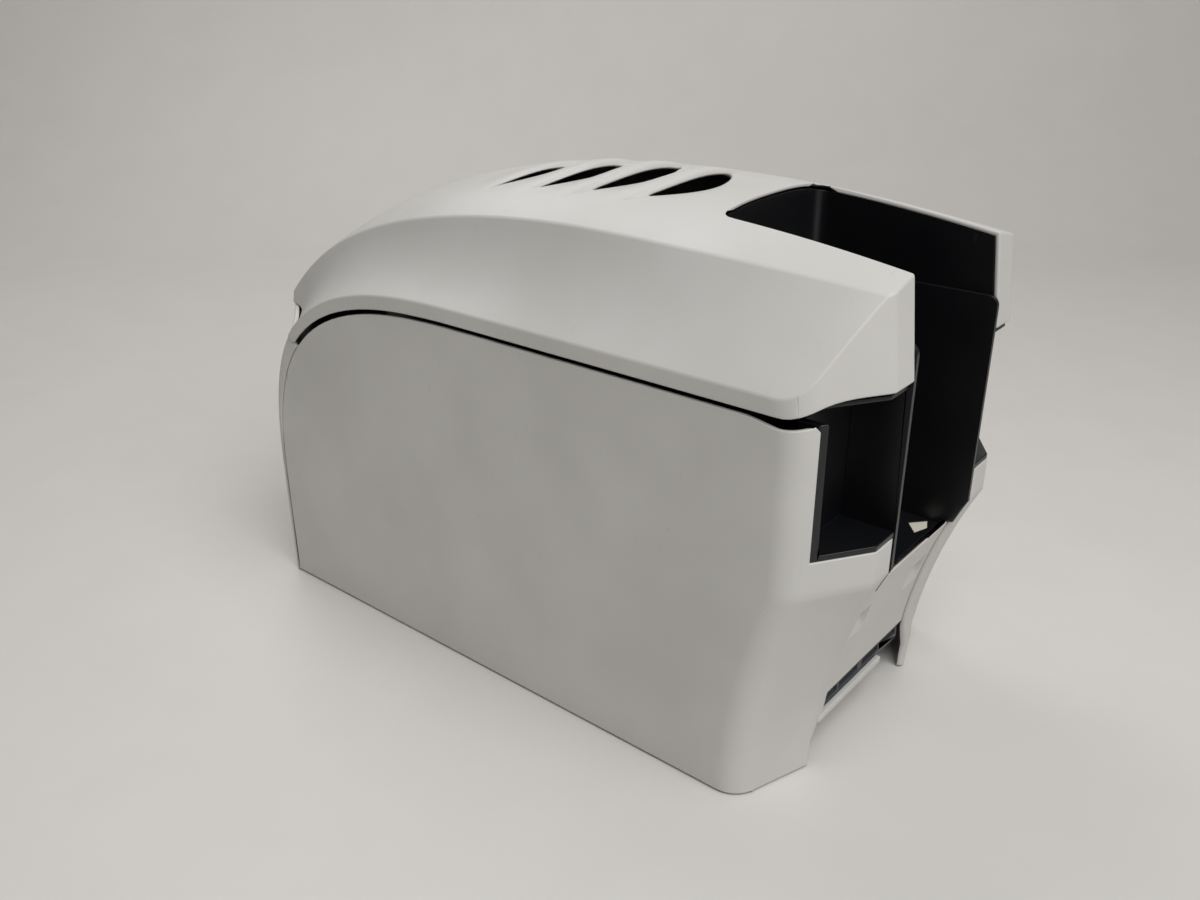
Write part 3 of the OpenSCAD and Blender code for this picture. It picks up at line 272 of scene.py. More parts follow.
# side view: columns run from the rear curve along the flat side, round the corner and over the front
def coverPatches():
    curve = np.radians(np.linspace(0, 90, 30))
    rearY = body["curveY"] + body["sideA"] * np.cos(curve) ** (2 / 3)
    rearZ = body["curveZ"] + body["sideB"] * np.sin(curve) ** (2 / 3)
    lowZ = np.array([body["floorGap"], 8, 17, 26, 34, 42, 50, 58, 66, 74, 82, 90, 98, 105, 111, 116.5, 121.5,
                     body["creaseZ"], 128, 135, cover["pocketZ"]])
    share = ((lowZ - lowZ[0]) / (lowZ[-1] - lowZ[0]))[:, None]
    # corner, pillar, slanted front and band
    q = np.concatenate([np.linspace(0, 1, 8), [1.25, 2], np.linspace(2, 3, 8)[1:], np.linspace(3, 4, 4)[1:],
                        np.linspace(4, 5, 6)[1:]])
    front = frontPoint(lowZ[:, None], q[None, :], body["halfWidth"], body["cornerR"], cover["pillarX"])
    front = np.dstack([front, np.broadcast_to(lowZ[:, None], front.shape[:2])])
    along = np.concatenate([np.linspace(0, 0.86, 12)[1:], np.linspace(0.86, 1, 9)[1:]])
    sideY = body["curveY"] + along * (front[-1, 0, 1] - body["curveY"])
    rim = cover["topZ"] - cover["cornerDip"] * smoothStep((cover["dipStart"] - sideY) / 22)
    top = np.concatenate([rearZ, rim])
    y = np.concatenate([rearY, sideY])
    base = np.minimum(top, cover["pocketZ"])
    level = lowZ[0] + share * (base - lowZ[0])
    lean = np.concatenate([np.zeros(len(rearY)), along])[None, :] * (front[:, :1, 1] - front[-1, 0, 1])
    side = np.stack([np.full_like(level, -body["halfWidth"]), y + lean, level], -1)
    # above the pocket's floor only the side, the corner and the pillar go on
    rise = np.linspace(0, 1, 9)[:, None]
    high = base + rise * (top - base)
    upper = np.stack([np.full(high.shape, -body["halfWidth"]), np.broadcast_to(y, high.shape), high], -1)
    postQ = q[:10]
    post = frontPoint(np.full((len(rise), len(postQ)), 200.0), postQ[None], body["halfWidth"], body["cornerR"],
                      cover["pillarX"])
    postTop = rim[-1] + (cover["postZ"] - rim[-1]) * smoothStep(postQ / 1.5)
    postTop = postTop - cover["chamfer"] * np.clip((postQ - 1.25) / 0.75, 0, 1)
    post = np.dstack([post, cover["pocketZ"] + rise * (postTop - cover["pocketZ"])])
    return [side, front, upper, post]


patches = coverPatches()
leftCover = finishPiece(makePiece("leftCover", patches), body["wall"], cover["edge"])
place(leftCover, "left_cover")
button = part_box("control_button")
buttonAt = (100.0, (button[0].y + button[1].y) / 2 / mm, (button[0].z + button[1].z) / 2 / mm)
lightAt = (100.0, buttonAt[1] + 18, buttonAt[2])
holes = makeCutter(rods=[(buttonAt, (1, 0, 0), 5.9, 8), (lightAt, (1, 0, 0), 2.0, 8)])
rightCover = makePiece("rightCover", [mirrored(p) for p in patches])
finishPiece(rightCover, body["wall"], cover["edge"], cutter=holes)
place(rightCover, "right_cover")
print("side covers done")


# rear cover
rear = dict(gap=0.6, cornerR=5.2, flatX=75.0, grille=23.0, fanX=52.0, fanZ=62.0, edge=0.5)


# plan of the rear at height z, right side: q 0-1 along the side strip, 1-2 round its corner,
# 2-3 over the slanted shoulder, 3-4 across the back to the middle
def rearPoint(z, q):
    z, q = np.broadcast_arrays(np.asarray(z, float), np.asarray(q, float))
    start = curveBack(z, body["sideA"] + rear["gap"], body["sideB"] + rear["gap"])
    curve = np.minimum(curveBack(z, body["rearA"], body["rearB"]), body["backY"])
    corner = np.stack([np.full_like(z, body["halfWidth"]), curve], -1)
    flat = np.broadcast_to([rear["flatX"], body["backY"]], corner.shape)
    v = (flat - corner) / np.linalg.norm(flat - corner, axis=-1, keepdims=True)
    u = np.zeros_like(v)
    u[..., 1] = -1
    f = np.clip(q - 1, 0, 1)[..., None]
    arc = filletPoint(corner, u, v, rear["cornerR"], f)
    arcStart = filletPoint(corner, u, v, rear["cornerR"], np.zeros_like(f))
    arcEnd = filletPoint(corner, u, v, rear["cornerR"], np.ones_like(f))
    q = q[..., None]
    first = np.stack([np.full_like(z, body["halfWidth"]), start], -1)
    strip = first + (arcStart - first) * np.clip(q, 0, 1)
    slope = arcEnd + (flat - arcEnd) * np.clip(q - 2, 0, 1)
    back = flat * np.concatenate([1 - np.clip(q - 3, 0, 1), np.ones_like(q)], -1)
    return np.where(q <= 1, strip, np.where(q <= 2, arc, np.where(q <= 3, slope, back)))


def rearPatches():
    q = np.concatenate([[0, 0.5], np.linspace(1, 2, 8), np.linspace(2, 3, 8)[1:], np.linspace(3, 4, 8)[1:]])
    low, high = np.full(len(q), 60.0), np.full(len(q), 184.0)
    for _ in range(40):  # height where each column meets the seam
        middle = (low + high) / 2
        above = middle > np.minimum(rearPoint(middle, q)[:, 1] + body["seamDrop"], body["hingeZ"]) - 0.2
        low, high = np.where(above, low, middle), np.where(above, middle, high)
    level = np.concatenate([np.linspace(0, 0.3, 5), np.linspace(0.3, 1, 26)[1:]])[:, None]
    z = body["floorGap"] + level * (low - body["floorGap"])
    half = np.dstack([rearPoint(z, np.broadcast_to(q, z.shape)), z])
    return [half, mirrored(half)]


slots = []
for step in range(-4, 5):
    reach = math.sqrt(rear["grille"] ** 2 - (step * 4.8) ** 2)
    at = rear["fanZ"] + step * 4.8
    slots.append(((rear["fanX"] - reach, 190, at - 1.3), (rear["fanX"] + reach, 210, at + 1.3)))
slots += [((-76, 190, 31.5), (-48, 210, 52.5)), ((-72.5, 190, 67), (-51.5, 210, 81)),
          ((-26.2, 190, 33.8), (-13.8, 210, 45.2)), ((-3.2, 190, 33.8), (13.2, 210, 47.7))]
slots += [((x - 17.6, 195, 179.5), (x + 17.6, 210, 190)) for x in (-45, 45)]
screwAt = [(-84, 14), (84, 14), (-84, 54), (84, 54), (-20, 150), (20, 150)]
screws = [((x, 200, z), (0, 1, 0), 1.6, 8) for x, z in screwAt]
rearCover = makePiece("rearCover", rearPatches(), inside=(0, 100, 110))
finishPiece(rearCover, body["wall"], rear["edge"], angle=40, segments=2, cutter=makeCutter(slots, screws))
place(rearCover, "rear_cover")
print("rear cover done")


# lid
lid = dict(width=103.0, ridgeZ=268.3, ridgeX=75.0, crown=14.2, frontLow=211.9, frontLift=7.6, lean=6.0,
           cornerR=20.0, bow=20.0, slotX=46.3, slotBack=-101.5, slotR=6.0, fanY=-90.0, crownEnd=140.0, edge=1.3)
# louvres, which lie a little to the left: first and pitch in depth; for each one its middle, half width and
# height, its opening's middle and half width, how far that reaches ahead, how high the rim's lower edge is over
# the crown there, and how deep the crown dips
louvre = dict(first=-66.5, pitch=31.8, middle=(-12, -14, -14, -16), half=(42, 41, 39, 36),
              height=(6.3, 6.5, 5.6, 3.4), openMiddle=(-12, -15, -20, -27), openHalf=(30, 29, 26, 19),
              ahead=(7.0, 5.5, 4.5, 2.5), rim=(3.0, 3.0, 2.6, 1.4), dip=(1.6, 0.8, 0.6, 0.4))


def ridgeHeight(y):
    u = (y + 47) / 243
    ahead, behind = 7.1 * ((y + 47) / 158) ** 2, 47 * u ** 2 + 24 * u ** 6
    return lid["ridgeZ"] - np.where(y < -47, ahead, behind)


def ridgeHalf(y):
    return lid["ridgeX"] - 9 * (1 - np.sin(np.pi / 2 * np.clip((y - body["frontY"]) / 130, 0, 1)))


def crownRise(y):
    behind = lid["crown"] + 1.8 * smoothStep((y + 20) / 90) - 8.5 * np.clip((y - 90) / 111, 0, 1) ** 1.5
    return np.where(y < -60, lid["crown"] - 7 * ((y + 60) / 145) ** 2, behind)


# crowned top: ridge height plus a curve across that is flat in the middle and falls off at the ridges
def crownZ(x, y):
    return ridgeHeight(y) + crownRise(y) * (1 - np.clip(np.abs(x) / ridgeHalf(y), 0, 1) ** 2.7)


# the shoulder's bow grows evenly from nothing at the front to its full depth 200 mm behind
def bowAt(y):
    return lid["bow"] * np.clip((y - body["frontY"]) / 200, 0, 1)


# hollow shoulder: a straight line from flange (s = 0) to ridge (s = 1), bowed inwards
def shoulderPoint(s, y):
    low = curveTop(np.minimum(y, 193), body["rearA"], body["rearB"])
    half, high = ridgeHalf(y), ridgeHeight(y)
    length = np.hypot(high - low, lid["width"] - half)
    bow = bowAt(y) * s * (1 - s)
    x = -lid["width"] + s * (lid["width"] - half) + bow * (high - low) / length
    return x, low + s * (high - low) - bow * (lid["width"] - half) / length


# the same surface as a height over the plan: the share s is the root of its quadratic
def shoulderZ(x, y):
    low = curveTop(np.minimum(y, 193), body["rearA"], body["rearB"])
    width, drop = lid["width"] - ridgeHalf(y), ridgeHeight(y) - low
    length = np.hypot(drop, width)
    bow = np.maximum(bowAt(y) * drop / length, 1e-6)
    s = (width + bow - np.sqrt(np.maximum((width + bow) ** 2 - 4 * bow * (x + lid["width"]), 0))) / (2 * bow)
    return low + s * drop - bowAt(y) * s * (1 - s) * width / length


# the lid's front leans back as it rises
def lidLean(z):
    return -0.6 + lid["lean"] * (z - lid["frontLow"] - lid["frontLift"]) / 50


def lidLow(x, y):
    rise = 1 - (1 - np.clip((102.5 - np.abs(x)) / 30, 0, 1)) ** 3
    side = np.maximum(curveTop(y, body["lidA"], body["lidB"]), np.minimum(y + 2, 184) + 0.2)
    return np.where(y < -160, lid["frontLow"] + lid["frontLift"] * rise, side)


finRows = np.array([0, 1.0, 2.2, 4, 7, 11, 15.5, 20, 24])
finShare = np.array([0.8, 0.94, 1, 0.97, 0.82, 0.53, 0.24, 0.05])


# how open a louvre is and how high its fin stands at x, as shares; both end at the sides of the louvre
def openShare(i, x):
    return np.clip(1 - ((x - louvre["openMiddle"][i]) / louvre["openHalf"][i]) ** 2, 0, None)


def finShareAt(i, x):
    return np.clip(1 - ((x - louvre["middle"][i]) / louvre["half"][i]) ** 2, 0, None) ** 1.2


# depths of the crown's rows at each x, from the fan round the opening back to the crown's end: the rows bend
# back to the sides with the cube of x, and each louvre's opening starts a little ahead of its rim
def crownRows(x):
    bend = 10.5 * (np.minimum(np.abs(x), 56) / 42) ** 3
    rim = [louvre["first"] + i * louvre["pitch"] + bend for i in range(len(louvre["ahead"]))]
    low = [row - ahead * openShare(i, x) for i, (row, ahead) in enumerate(zip(rim, louvre["ahead"]))]
    share = np.linspace(0, 1, 7)[:, None]
    bands = [lid["fanY"] + share * (low[0] - lid["fanY"])]
    for i, row in enumerate(rim):
        fins = row + finRows[:, None]
        if i < len(rim) - 1:
            bands.append(np.vstack([fins, low[i + 1]]))
        else:
            share = np.linspace(0, 1, 11)[1:, None]
            bands.append(np.vstack([fins, fins[-1] + share * (lid["crownEnd"] - fins[-1])]))
    return bands


# the crown's bands on one side, where columns are shares of its half width, positive on the left: the crown's own
# height, plus the fin behind each rim, less the dip ahead of each opening
def crownBands(rows, columns, toEnd):
    bands = []
    at = -lid["ridgeX"] * columns
    count = len(finRows)
    for i, y in enumerate(rows):
        last = i == len(rows) - 1
        if last:
            rest = lid["crownEnd"] + toEnd[:, None] * (body["backY"] - lid["crownEnd"])
            y = np.vstack([y, np.broadcast_to(rest, (len(toEnd), len(columns)))])
        x = ridgeHalf(y) * np.abs(columns)
        z = crownZ(x, y)
        if i:
            fin = louvre["height"][i - 1] * finShareAt(i - 1, at)
            z[:count] += np.array([0, *finShare])[:, None] * fin
            z[0] += louvre["rim"][i - 1] * openShare(i - 1, at)
        if not last:
            near = np.clip(1 - (y[-1] - y) / 14, 0, 1) ** 2
            behindFin = np.arange(len(y))[:, None] > (count - 2 if i else 0)
            z -= louvre["dip"][i] * near * openShare(i, at) * behindFin
        bands.append(np.stack([-x, y, z], -1))
    return bands


def lidPatches():
    split = -150.0
    toSplit = np.linspace(0, 1, 10)  # front rows, as shares
    columns = np.array([75, 69, 63, 59, 55, 51, 47, 44.5, 42, 40.37, 36, 31, 27, 22.5, 18, 12, 6, 0]) / 75
    outer = columns * ridgeHalf(lid["fanY"])
    centre = np.array([lid["slotX"] - lid["slotR"], lid["slotBack"] - lid["slotR"]])
    reach = np.array([outer[0], lid["fanY"]]) - centre
    fanAngle = np.linspace(0, np.arctan2(reach[1], reach[0]), 6)
    fanRows = centre[1] + reach[0] * np.tan(fanAngle)
    # the last fixed row is the fan's row
    fixed = np.concatenate([np.linspace(split, centre[1], 9)[1:], fanRows[1:]])
    leftRows, rightRows = crownRows(-lid["ridgeX"] * columns), crownRows(lid["ridgeX"] * columns)
    middle = np.concatenate([fixed, leftRows[0][1:, 0], *[rows[:, 0] for rows in leftRows[1:]]])
    # a band's last row is the next one's first at the ridge
    middle = middle[np.concatenate([[True], np.diff(middle) > 1e-6])]
    toEnd = np.linspace(0, 1, 16)[1:]

    # shoulder: its columns start on the plan of the front, from the middle of the rounded corner to the ridge
    q = np.concatenate([np.linspace(0.5, 1, 4), [1.5, 2], np.linspace(2, 3, 8)[1:]])
    plan = frontPoint(np.full(len(q), 200.0), q, lid["width"], lid["cornerR"])
    ridgeEnd = -ridgeHalf(np.array(-200.0))
    plan = plan[plan[:, 0] < ridgeEnd - 1.5]
    plan = np.vstack([plan, [ridgeEnd, bandY + 0.641 * (-ridgeEnd - 64)]])
    front = plan[:, 1].copy()
    for _ in range(8):
        front = plan[:, 1] + lidLean(shoulderZ(plan[:, 0], front))
    front[-1] = plan[-1, 1] + lidLean(float(ridgeHeight(front[-1])))
    s = np.linspace(0, 1, len(plan))
    low, high = np.full(len(s), 140.0), np.full(len(s), 201.0)
    for _ in range(40):  # depth where each column meets the seam
        mid = (low + high) / 2
        above = shoulderPoint(s, mid)[1] > np.minimum(mid + body["seamDrop"], body["hingeZ"]) + 0.2
        low, high = np.where(above, mid, low), np.where(above, high, mid)
    end = np.where(low > 200.99, 201.0, low)
    # the column nearest to the rear corner of the seam is led into that corner
    table = np.linspace(0, 1, 1500)
    cornerS = np.interp(body["hingeZ"] + 0.2, shoulderPoint(table, 201.0)[1], table)
    nearest = int(np.argmin(np.abs(s - cornerS)))
    end[nearest] = 201.0
    rearRows = lid["crownEnd"] + toEnd[:, None] * (end - lid["crownEnd"])
    rows = np.vstack([np.broadcast_to(middle[:, None], (len(middle), len(s))), rearRows])
    share = np.broadcast_to(s, rows.shape).copy()
    share[:, nearest] += (cornerS - s[nearest]) * smoothStep((rows[:, nearest] + 150) / 300)
    x, z = shoulderPoint(share, rows)
    behind = np.stack([x, rows, z], -1)
    # front part: straight runs from the front edge back to the split
    splitX = shoulderPoint(s, split)[0]
    fx = plan[:, 0] + toSplit[:, None] * (splitX - plan[:, 0])
    fy = front + toSplit[:, None] * (split - front)
    fx[:, -1] = -ridgeHalf(fy[:, -1])
    # its outer column keeps to the rounded corner and the side
    arc = frontPoint(np.full(60, 200.0), np.linspace(0.5, 0, 60), lid["width"], lid["cornerR"])
    arc = np.vstack([arc, [-lid["width"], split]])
    run = np.concatenate([[0], np.cumsum(np.hypot(*np.diff(arc, axis=0).T))])
    along = toSplit * run[-1]
    fx[:, 0] = np.interp(along, run, arc[:, 0])
    fy[:, 0] = np.interp(along, run, arc[:, 1]) + lidLean(220.3) * (1 - toSplit)
    ahead = np.stack([fx, fy, shoulderZ(fx, fy)], -1)
    ahead[:, -1, 2] = ridgeHeight(fy[:, -1])
    ahead[:, 0, 2] = shoulderZ(fx[:, 0], fy[:, 0])
    shoulder = np.vstack([ahead, behind])
    rows = shoulder[:, :, 1]

    # flange: straight down from the shoulder's lower edge
    level = np.array([0, 0.35, 0.7, 1.0])[:, None]
    edge = shoulder[:, 0]
    wallZ = lidLow(edge[:, 0], edge[:, 1]) + level * (edge[:, 2] - lidLow(edge[:, 0], edge[:, 1]))
    nearFront = np.clip((split - edge[:, 1]) / (split - edge[0, 1]), 0, 1)
    wallY = edge[:, 1] + (lidLean(wallZ) - lidLean(edge[:, 2])) * nearFront
    flange = np.stack([np.broadcast_to(edge[:, 0], wallZ.shape), wallY, wallZ], -1)

    # crown beside the card opening: rays from the opening's edge to the ridge
    across = np.array([1, 0.86, 0.72, 0.58, 0.44, 0.3, 0.15, 0])
    ridgeRows = rows[:len(toSplit) + 8, -1]
    frontHalf = np.array([-ridgeEnd + (lid["slotX"] + ridgeEnd) * (1 - c) for c in across])
    frontPlan = bandY + 0.641 * np.clip(frontHalf - 64, 0, None)
    frontRow = frontPlan + lidLean(crownZ(frontHalf, frontPlan + 5))
    frontRow[0] = front[-1]
    stripY = np.vstack([frontRow + toSplit[:, None] * (split - frontRow),
                        np.broadcast_to(ridgeRows[len(toSplit):, None], (8, len(across)))])
    stripX = lid["slotX"] + (ridgeHalf(stripY) - lid["slotX"]) * across
    rayIn = np.concatenate([fanAngle[1:], np.arctan2(reach[1], outer[1:10] - centre[0])])
    inner = centre + lid["slotR"] * np.stack([np.cos(rayIn), np.sin(rayIn)], -1)
    inner = np.vstack([inner, np.stack([outer[10:], np.full(len(outer) - 10, lid["slotBack"])], -1)])
    outX = np.concatenate([ridgeHalf(fanRows[1:]), outer[1:]])
    outY = np.concatenate([fanRows[1:], np.full(len(outer) - 1, lid["fanY"])])
    rayX = inner[:, :1] + (outX[:, None] - inner[:, :1]) * across
    rayY = inner[:, 1:] + (outY[:, None] - inner[:, 1:]) * across
    cx, cy = np.vstack([stripX, rayX]), np.vstack([stripY, rayY])
    besideSlot = np.stack([-cx, cy, crownZ(cx, cy)], -1)

    # front wall: from the top's front edge down to the lid's lower edge
    topEdge = np.vstack([shoulder[0], besideSlot[0, 1:]])
    planY = np.concatenate([plan[:, 1], frontPlan[1:]])
    frontLevel = np.linspace(0, 1, 12)[:, None]
    lowEdge = lidLow(topEdge[:, 0], np.full(len(topEdge), -200.0))
    frontZ = lowEdge + frontLevel * (topEdge[:, 2] - lowEdge)
    frontY = planY + lidLean(frontZ) + (topEdge[:, 1] - planY - lidLean(topEdge[:, 2])) * frontLevel
    frontWall = np.stack([np.broadcast_to(topEdge[:, 0], frontZ.shape), frontY, frontZ], -1)

    # crown behind the opening, in bands between the louvres
    bands = crownBands(leftRows, columns, toEnd)
    bands += [mirrored(p) for p in crownBands(rightRows, -columns, toEnd)]

    # rear wall, with notches over the hinge knuckles
    top = np.vstack([shoulder[-1, nearest:], bands[len(leftRows) - 1][-1, 1:]])
    rearLow = body["hingeZ"] + 0.2
    stop = np.minimum(top[:, 2], rearLow + 4.3)
    step = np.linspace(0, 1, 3)[:, None]
    upperZ = stop + step * (top[:, 2] - stop)
    lowerZ = rearLow + step * (stop - rearLow)
    flat = [np.stack([np.broadcast_to(top[:, 0], w.shape), np.full_like(w, body["backY"]), w], -1)
            for w in (upperZ, lowerZ)]
    count = len(shoulder[-1, nearest:])
    outside, middlePart = flat[1][:, :count + 2], flat[1][:, count + 9:]
    half = [shoulder, flange, besideSlot, frontWall, flat[0], outside, middlePart]
    return half + [mirrored(p) for p in half] + bands


lidShell = finishPiece(makePiece("lidShell", lidPatches()), body["wall"], lid["edge"], angle=27)
place(lidShell, "lid_shell")
print("lid done")


# front flap with a finger scoop near each upper corner
flap = dict(halfWidth=45.4, low=38.5, high=109.0, back=2.6, wall=2.2, scoopX=32.25, scoopTop=87.5, scoopLow=71.0,
            scoopHalf=8.75, scoopDeep=6.0, endRoom=1.0, axisY=-170.4, axisZ=44.0, lugR=3.4)


# the arch of the covers set back a little, pushed in by a ramp that deepens upwards inside each scoop
def flapPatch():
    fine = np.arange(22, 42.8, 0.5)
    ends = np.array([flap["halfWidth"] - flap["endRoom"], flap["halfWidth"]])
    x = np.concatenate([-ends[::-1], -fine[::-1], np.linspace(-20.5, 20.5, 14), fine, ends])
    z = np.concatenate([[flap["low"], flap["low"] + flap["endRoom"]], np.linspace(42, 68.5, 14),
                        np.arange(70, 89.2, 0.5), [91, 95, 99, 103, 106],
                        [flap["high"] - flap["endRoom"], flap["high"]]])
    x, z = np.meshgrid(x, z)
    ramp = np.clip((z - flap["scoopLow"]) / (flap["scoopTop"] - flap["scoopLow"]), 0, 1)
    inside = np.clip((flap["scoopHalf"] - np.abs(np.abs(x) - flap["scoopX"])) / 0.8, 0, 1)
    push = flap["scoopDeep"] * ramp * inside * smoothStep((flap["scoopTop"] + 0.7 - z) / 0.7)
    return np.stack([x, bandAt(z, flap["back"]) + push, z], -1)


# an outline in (y, z) pushed along x, closed by end faces
def makePrism(name, outline, spans, edge):
    form = bmesh.new()
    for x0, x1 in spans:
        ring = [form.verts.new(Vector((x0, p[0], p[1])) * mm) for p in outline]
        other = [form.verts.new(Vector((x1, p[0], p[1])) * mm) for p in outline]
        form.faces.new(ring[::-1])
        form.faces.new(other)
        for i in range(len(ring)):
            j = (i + 1) % len(ring)
            form.faces.new((ring[i], ring[j], other[j], other[i]))
    bmesh.ops.recalc_face_normals(form, faces=form.faces)
    for face in form.faces:
        face.smooth = True
    mesh = bpy.data.meshes.new(name)
    form.to_mesh(mesh)
    form.free()
    return finishPiece(addObject(name, mesh), edge=edge, segments=2, angle=40)


frontFlap = makePiece("frontFlap", [flapPatch()], inside=(0, 0, 60))
finishPiece(frontFlap, flap["wall"], 0.5, angle=50, segments=2)
place(frontFlap, "front_flap")
turn = np.radians(np.linspace(-90, 90, 13))
lugEnd = flap["lugR"] * np.stack([np.cos(turn), np.sin(turn)], -1) + [flap["axisY"], flap["axisZ"]]
lugFoot = [[-176.0, flap["axisZ"] - flap["lugR"]]]
lugHead = [[-176.0, flap["axisZ"] + flap["lugR"]]]
lugOutline = np.vstack([lugFoot, lugEnd, lugHead])
flapLugs = makePrism("flapLugs", lugOutline, [(-43.3, -39.3), (39.3, 43.3)], 0.3)
place(flapLugs, "front_flap")
print("flap done")

# a pale nylon plate under the pick hole in the hopper's floor: a painted patch of light that stands in for the
# light seen through the hole
paintedLightFrom = np.array([25, bandAt(106.0) + 11.2])
paintedLightOutline = paintedLightFrom + np.array([[0, 0], [9, -3], [16, 0], [8, 7]])


# an outline in (x, y) between two heights, with a soft edge
def makePlate(name, outline, low, high, edge):
    count = len(outline)
    points = [(*p, z) for z in (low, high) for p in outline]
    sides = [(i, (i + 1) % count, (i + 1) % count + count, i + count) for i in range(count)]
    mesh = bpy.data.meshes.new(name)
    ends = [tuple(range(count))[::-1], tuple(range(count, 2 * count))]
    mesh.from_pydata((np.array(points) * mm).tolist(), [], ends + sides)
    return finishPiece(addObject(name, mesh), edge=edge, segments=2, angle=40)


# painted light under the pick hole, as a thin pale plate
floorPlate = makePlate("floorPlate", paintedLightOutline, 106.0, 107.8, 0.2)
place(floorPlate, "hopper_floor")

# moulded inner parts with rounded edges
softEdges = dict(hopper_walls=1.0, hopper_floor=0.4, left_pocket=0.6, right_pocket=0.6, lid_liner=0.4,
                 slit_frame=0.5, front_bezel=0.6, card_bin=0.4, power_inlet=0.4, power_switch=0.5,
                 control_button=0.5, data_sockets=0.25, fan_frame=0.4, rubber_feet=0.5, base_tray=0.4,
                 print_head=0.4, power_supply=0.6, feed_motor=1.2, lid_sensor=0.4, lid_rests=0.5, card_guides=0.3)
for node, edge in softEdges.items():
    first, *others = node.split("_")
    softened(node, first + "".join(word.capitalize() for word in others) + "Piece", edge)
print("inner parts done")


# materials
# sRGB hex to linear colour
def hexColour(text):
    value = np.array([int(text[i:i + 2], 16) / 255 for i in (0, 2, 4)])
    linear = np.where(value > 0.04045, ((value + 0.055) / 1.055) ** 2.4, value / 12.92)
    return (*[float(v) for v in linear], 1.0)


# adds a node with its settings; a value that is a socket becomes a link
def addNode(tree, kind, settings=None, **inputs):
    made = tree.nodes.new(kind)
    for key, value in (settings or {}).items():
        setattr(made, key, value)
    for key, value in inputs.items():
        numbered = key[0] == "i" and key[1:].isdigit()
        socket = made.inputs[int(key[1:]) if numbered else key.replace("_", " ")]
        if isinstance(value, bpy.types.NodeSocket):
            tree.links.new(value, socket)
        else:
            socket.default_value = value
    return made


def newMaterial(name):
    material = bpy.data.materials.new(name)
    material.use_nodes = True
    tree = material.node_tree
    tree.nodes.clear()
    return material, tree, addNode(tree, "ShaderNodeTexCoord").outputs["Object"]


def closeMaterial(tree, shader):
    output = tree.nodes.new("ShaderNodeOutputMaterial")
    tree.links.new(shader.outputs[0], output.inputs["Surface"])


# moulded plastic: eroded grain, slow colour drift, small dark specks and faint scuffs
def mouldedPlastic(name, colour, tint, roughness, grainMm, grainDeep, speckShare=0.0, scuff=0.0,
                   scuffColour="8f8a82"):
    material, tree, at = newMaterial(name)
    grain = addNode(tree, "ShaderNodeTexNoise", Vector=at, Scale=1 / (grainMm * mm), Detail=3.0, Roughness=0.6)
    drift = addNode(tree, "ShaderNodeTexNoise", Vector=at, Scale=14.0, Detail=2.0, Roughness=0.5)
    share = addNode(tree, "ShaderNodeMapRange", Value=drift.outputs[0], i1=0.35, i2=0.7, i3=0.0, i4=1.0)
    mix = addNode(tree, "ShaderNodeMix", dict(data_type="RGBA"))
    tree.links.new(share.outputs[0], mix.inputs[0])
    mix.inputs[6].default_value, mix.inputs[7].default_value = hexColour(colour), hexColour(tint)
    surface = mix.outputs[2]
    rough = addNode(tree, "ShaderNodeMapRange", Value=drift.outputs[0], i1=0.3, i2=0.7,
                    i3=roughness - 0.04, i4=roughness + 0.05)
    if speckShare:
        cells = addNode(tree, "ShaderNodeTexNoise", Vector=at, Scale=230.0, Detail=4.0, Roughness=0.7)
        specks = addNode(tree, "ShaderNodeMapRange", Value=cells.outputs[0], i1=speckShare, i2=speckShare + 0.02,
                         i3=0.0, i4=0.75)
        dirty = addNode(tree, "ShaderNodeMix", dict(data_type="RGBA"))
        tree.links.new(specks.outputs[0], dirty.inputs[0])
        tree.links.new(surface, dirty.inputs[6])
        dirty.inputs[7].default_value = hexColour("6b655b")
        surface = dirty.outputs[2]
    if scuff:
        stretch = addNode(tree, "ShaderNodeMapping", Vector=at)
        stretch.inputs["Rotation"].default_value = (0.3, 0.5, 0.4)
        stretch.inputs["Scale"].default_value = (30, 260, 90)
        lines = addNode(tree, "ShaderNodeTexNoise", Vector=stretch.outputs[0], Scale=1.0, Detail=5.0,
                        Roughness=0.65)
        marks = addNode(tree, "ShaderNodeMapRange", Value=lines.outputs[0], i1=0.66, i2=0.74, i3=0.0, i4=scuff)
        rubbed = addNode(tree, "ShaderNodeMix", dict(data_type="RGBA"))
        tree.links.new(marks.outputs[0], rubbed.inputs[0])
        tree.links.new(surface, rubbed.inputs[6])
        rubbed.inputs[7].default_value = hexColour(scuffColour)
        surface = rubbed.outputs[2]
    bump = addNode(tree, "ShaderNodeBump", Strength=0.35, Distance=grainDeep * mm, Height=grain.outputs[0])
    shader = addNode(tree, "ShaderNodeBsdfPrincipled", Base_Color=surface, Roughness=rough.outputs[0],
                     Normal=bump.outputs[0], IOR=1.53)
    closeMaterial(tree, shader)
    return material


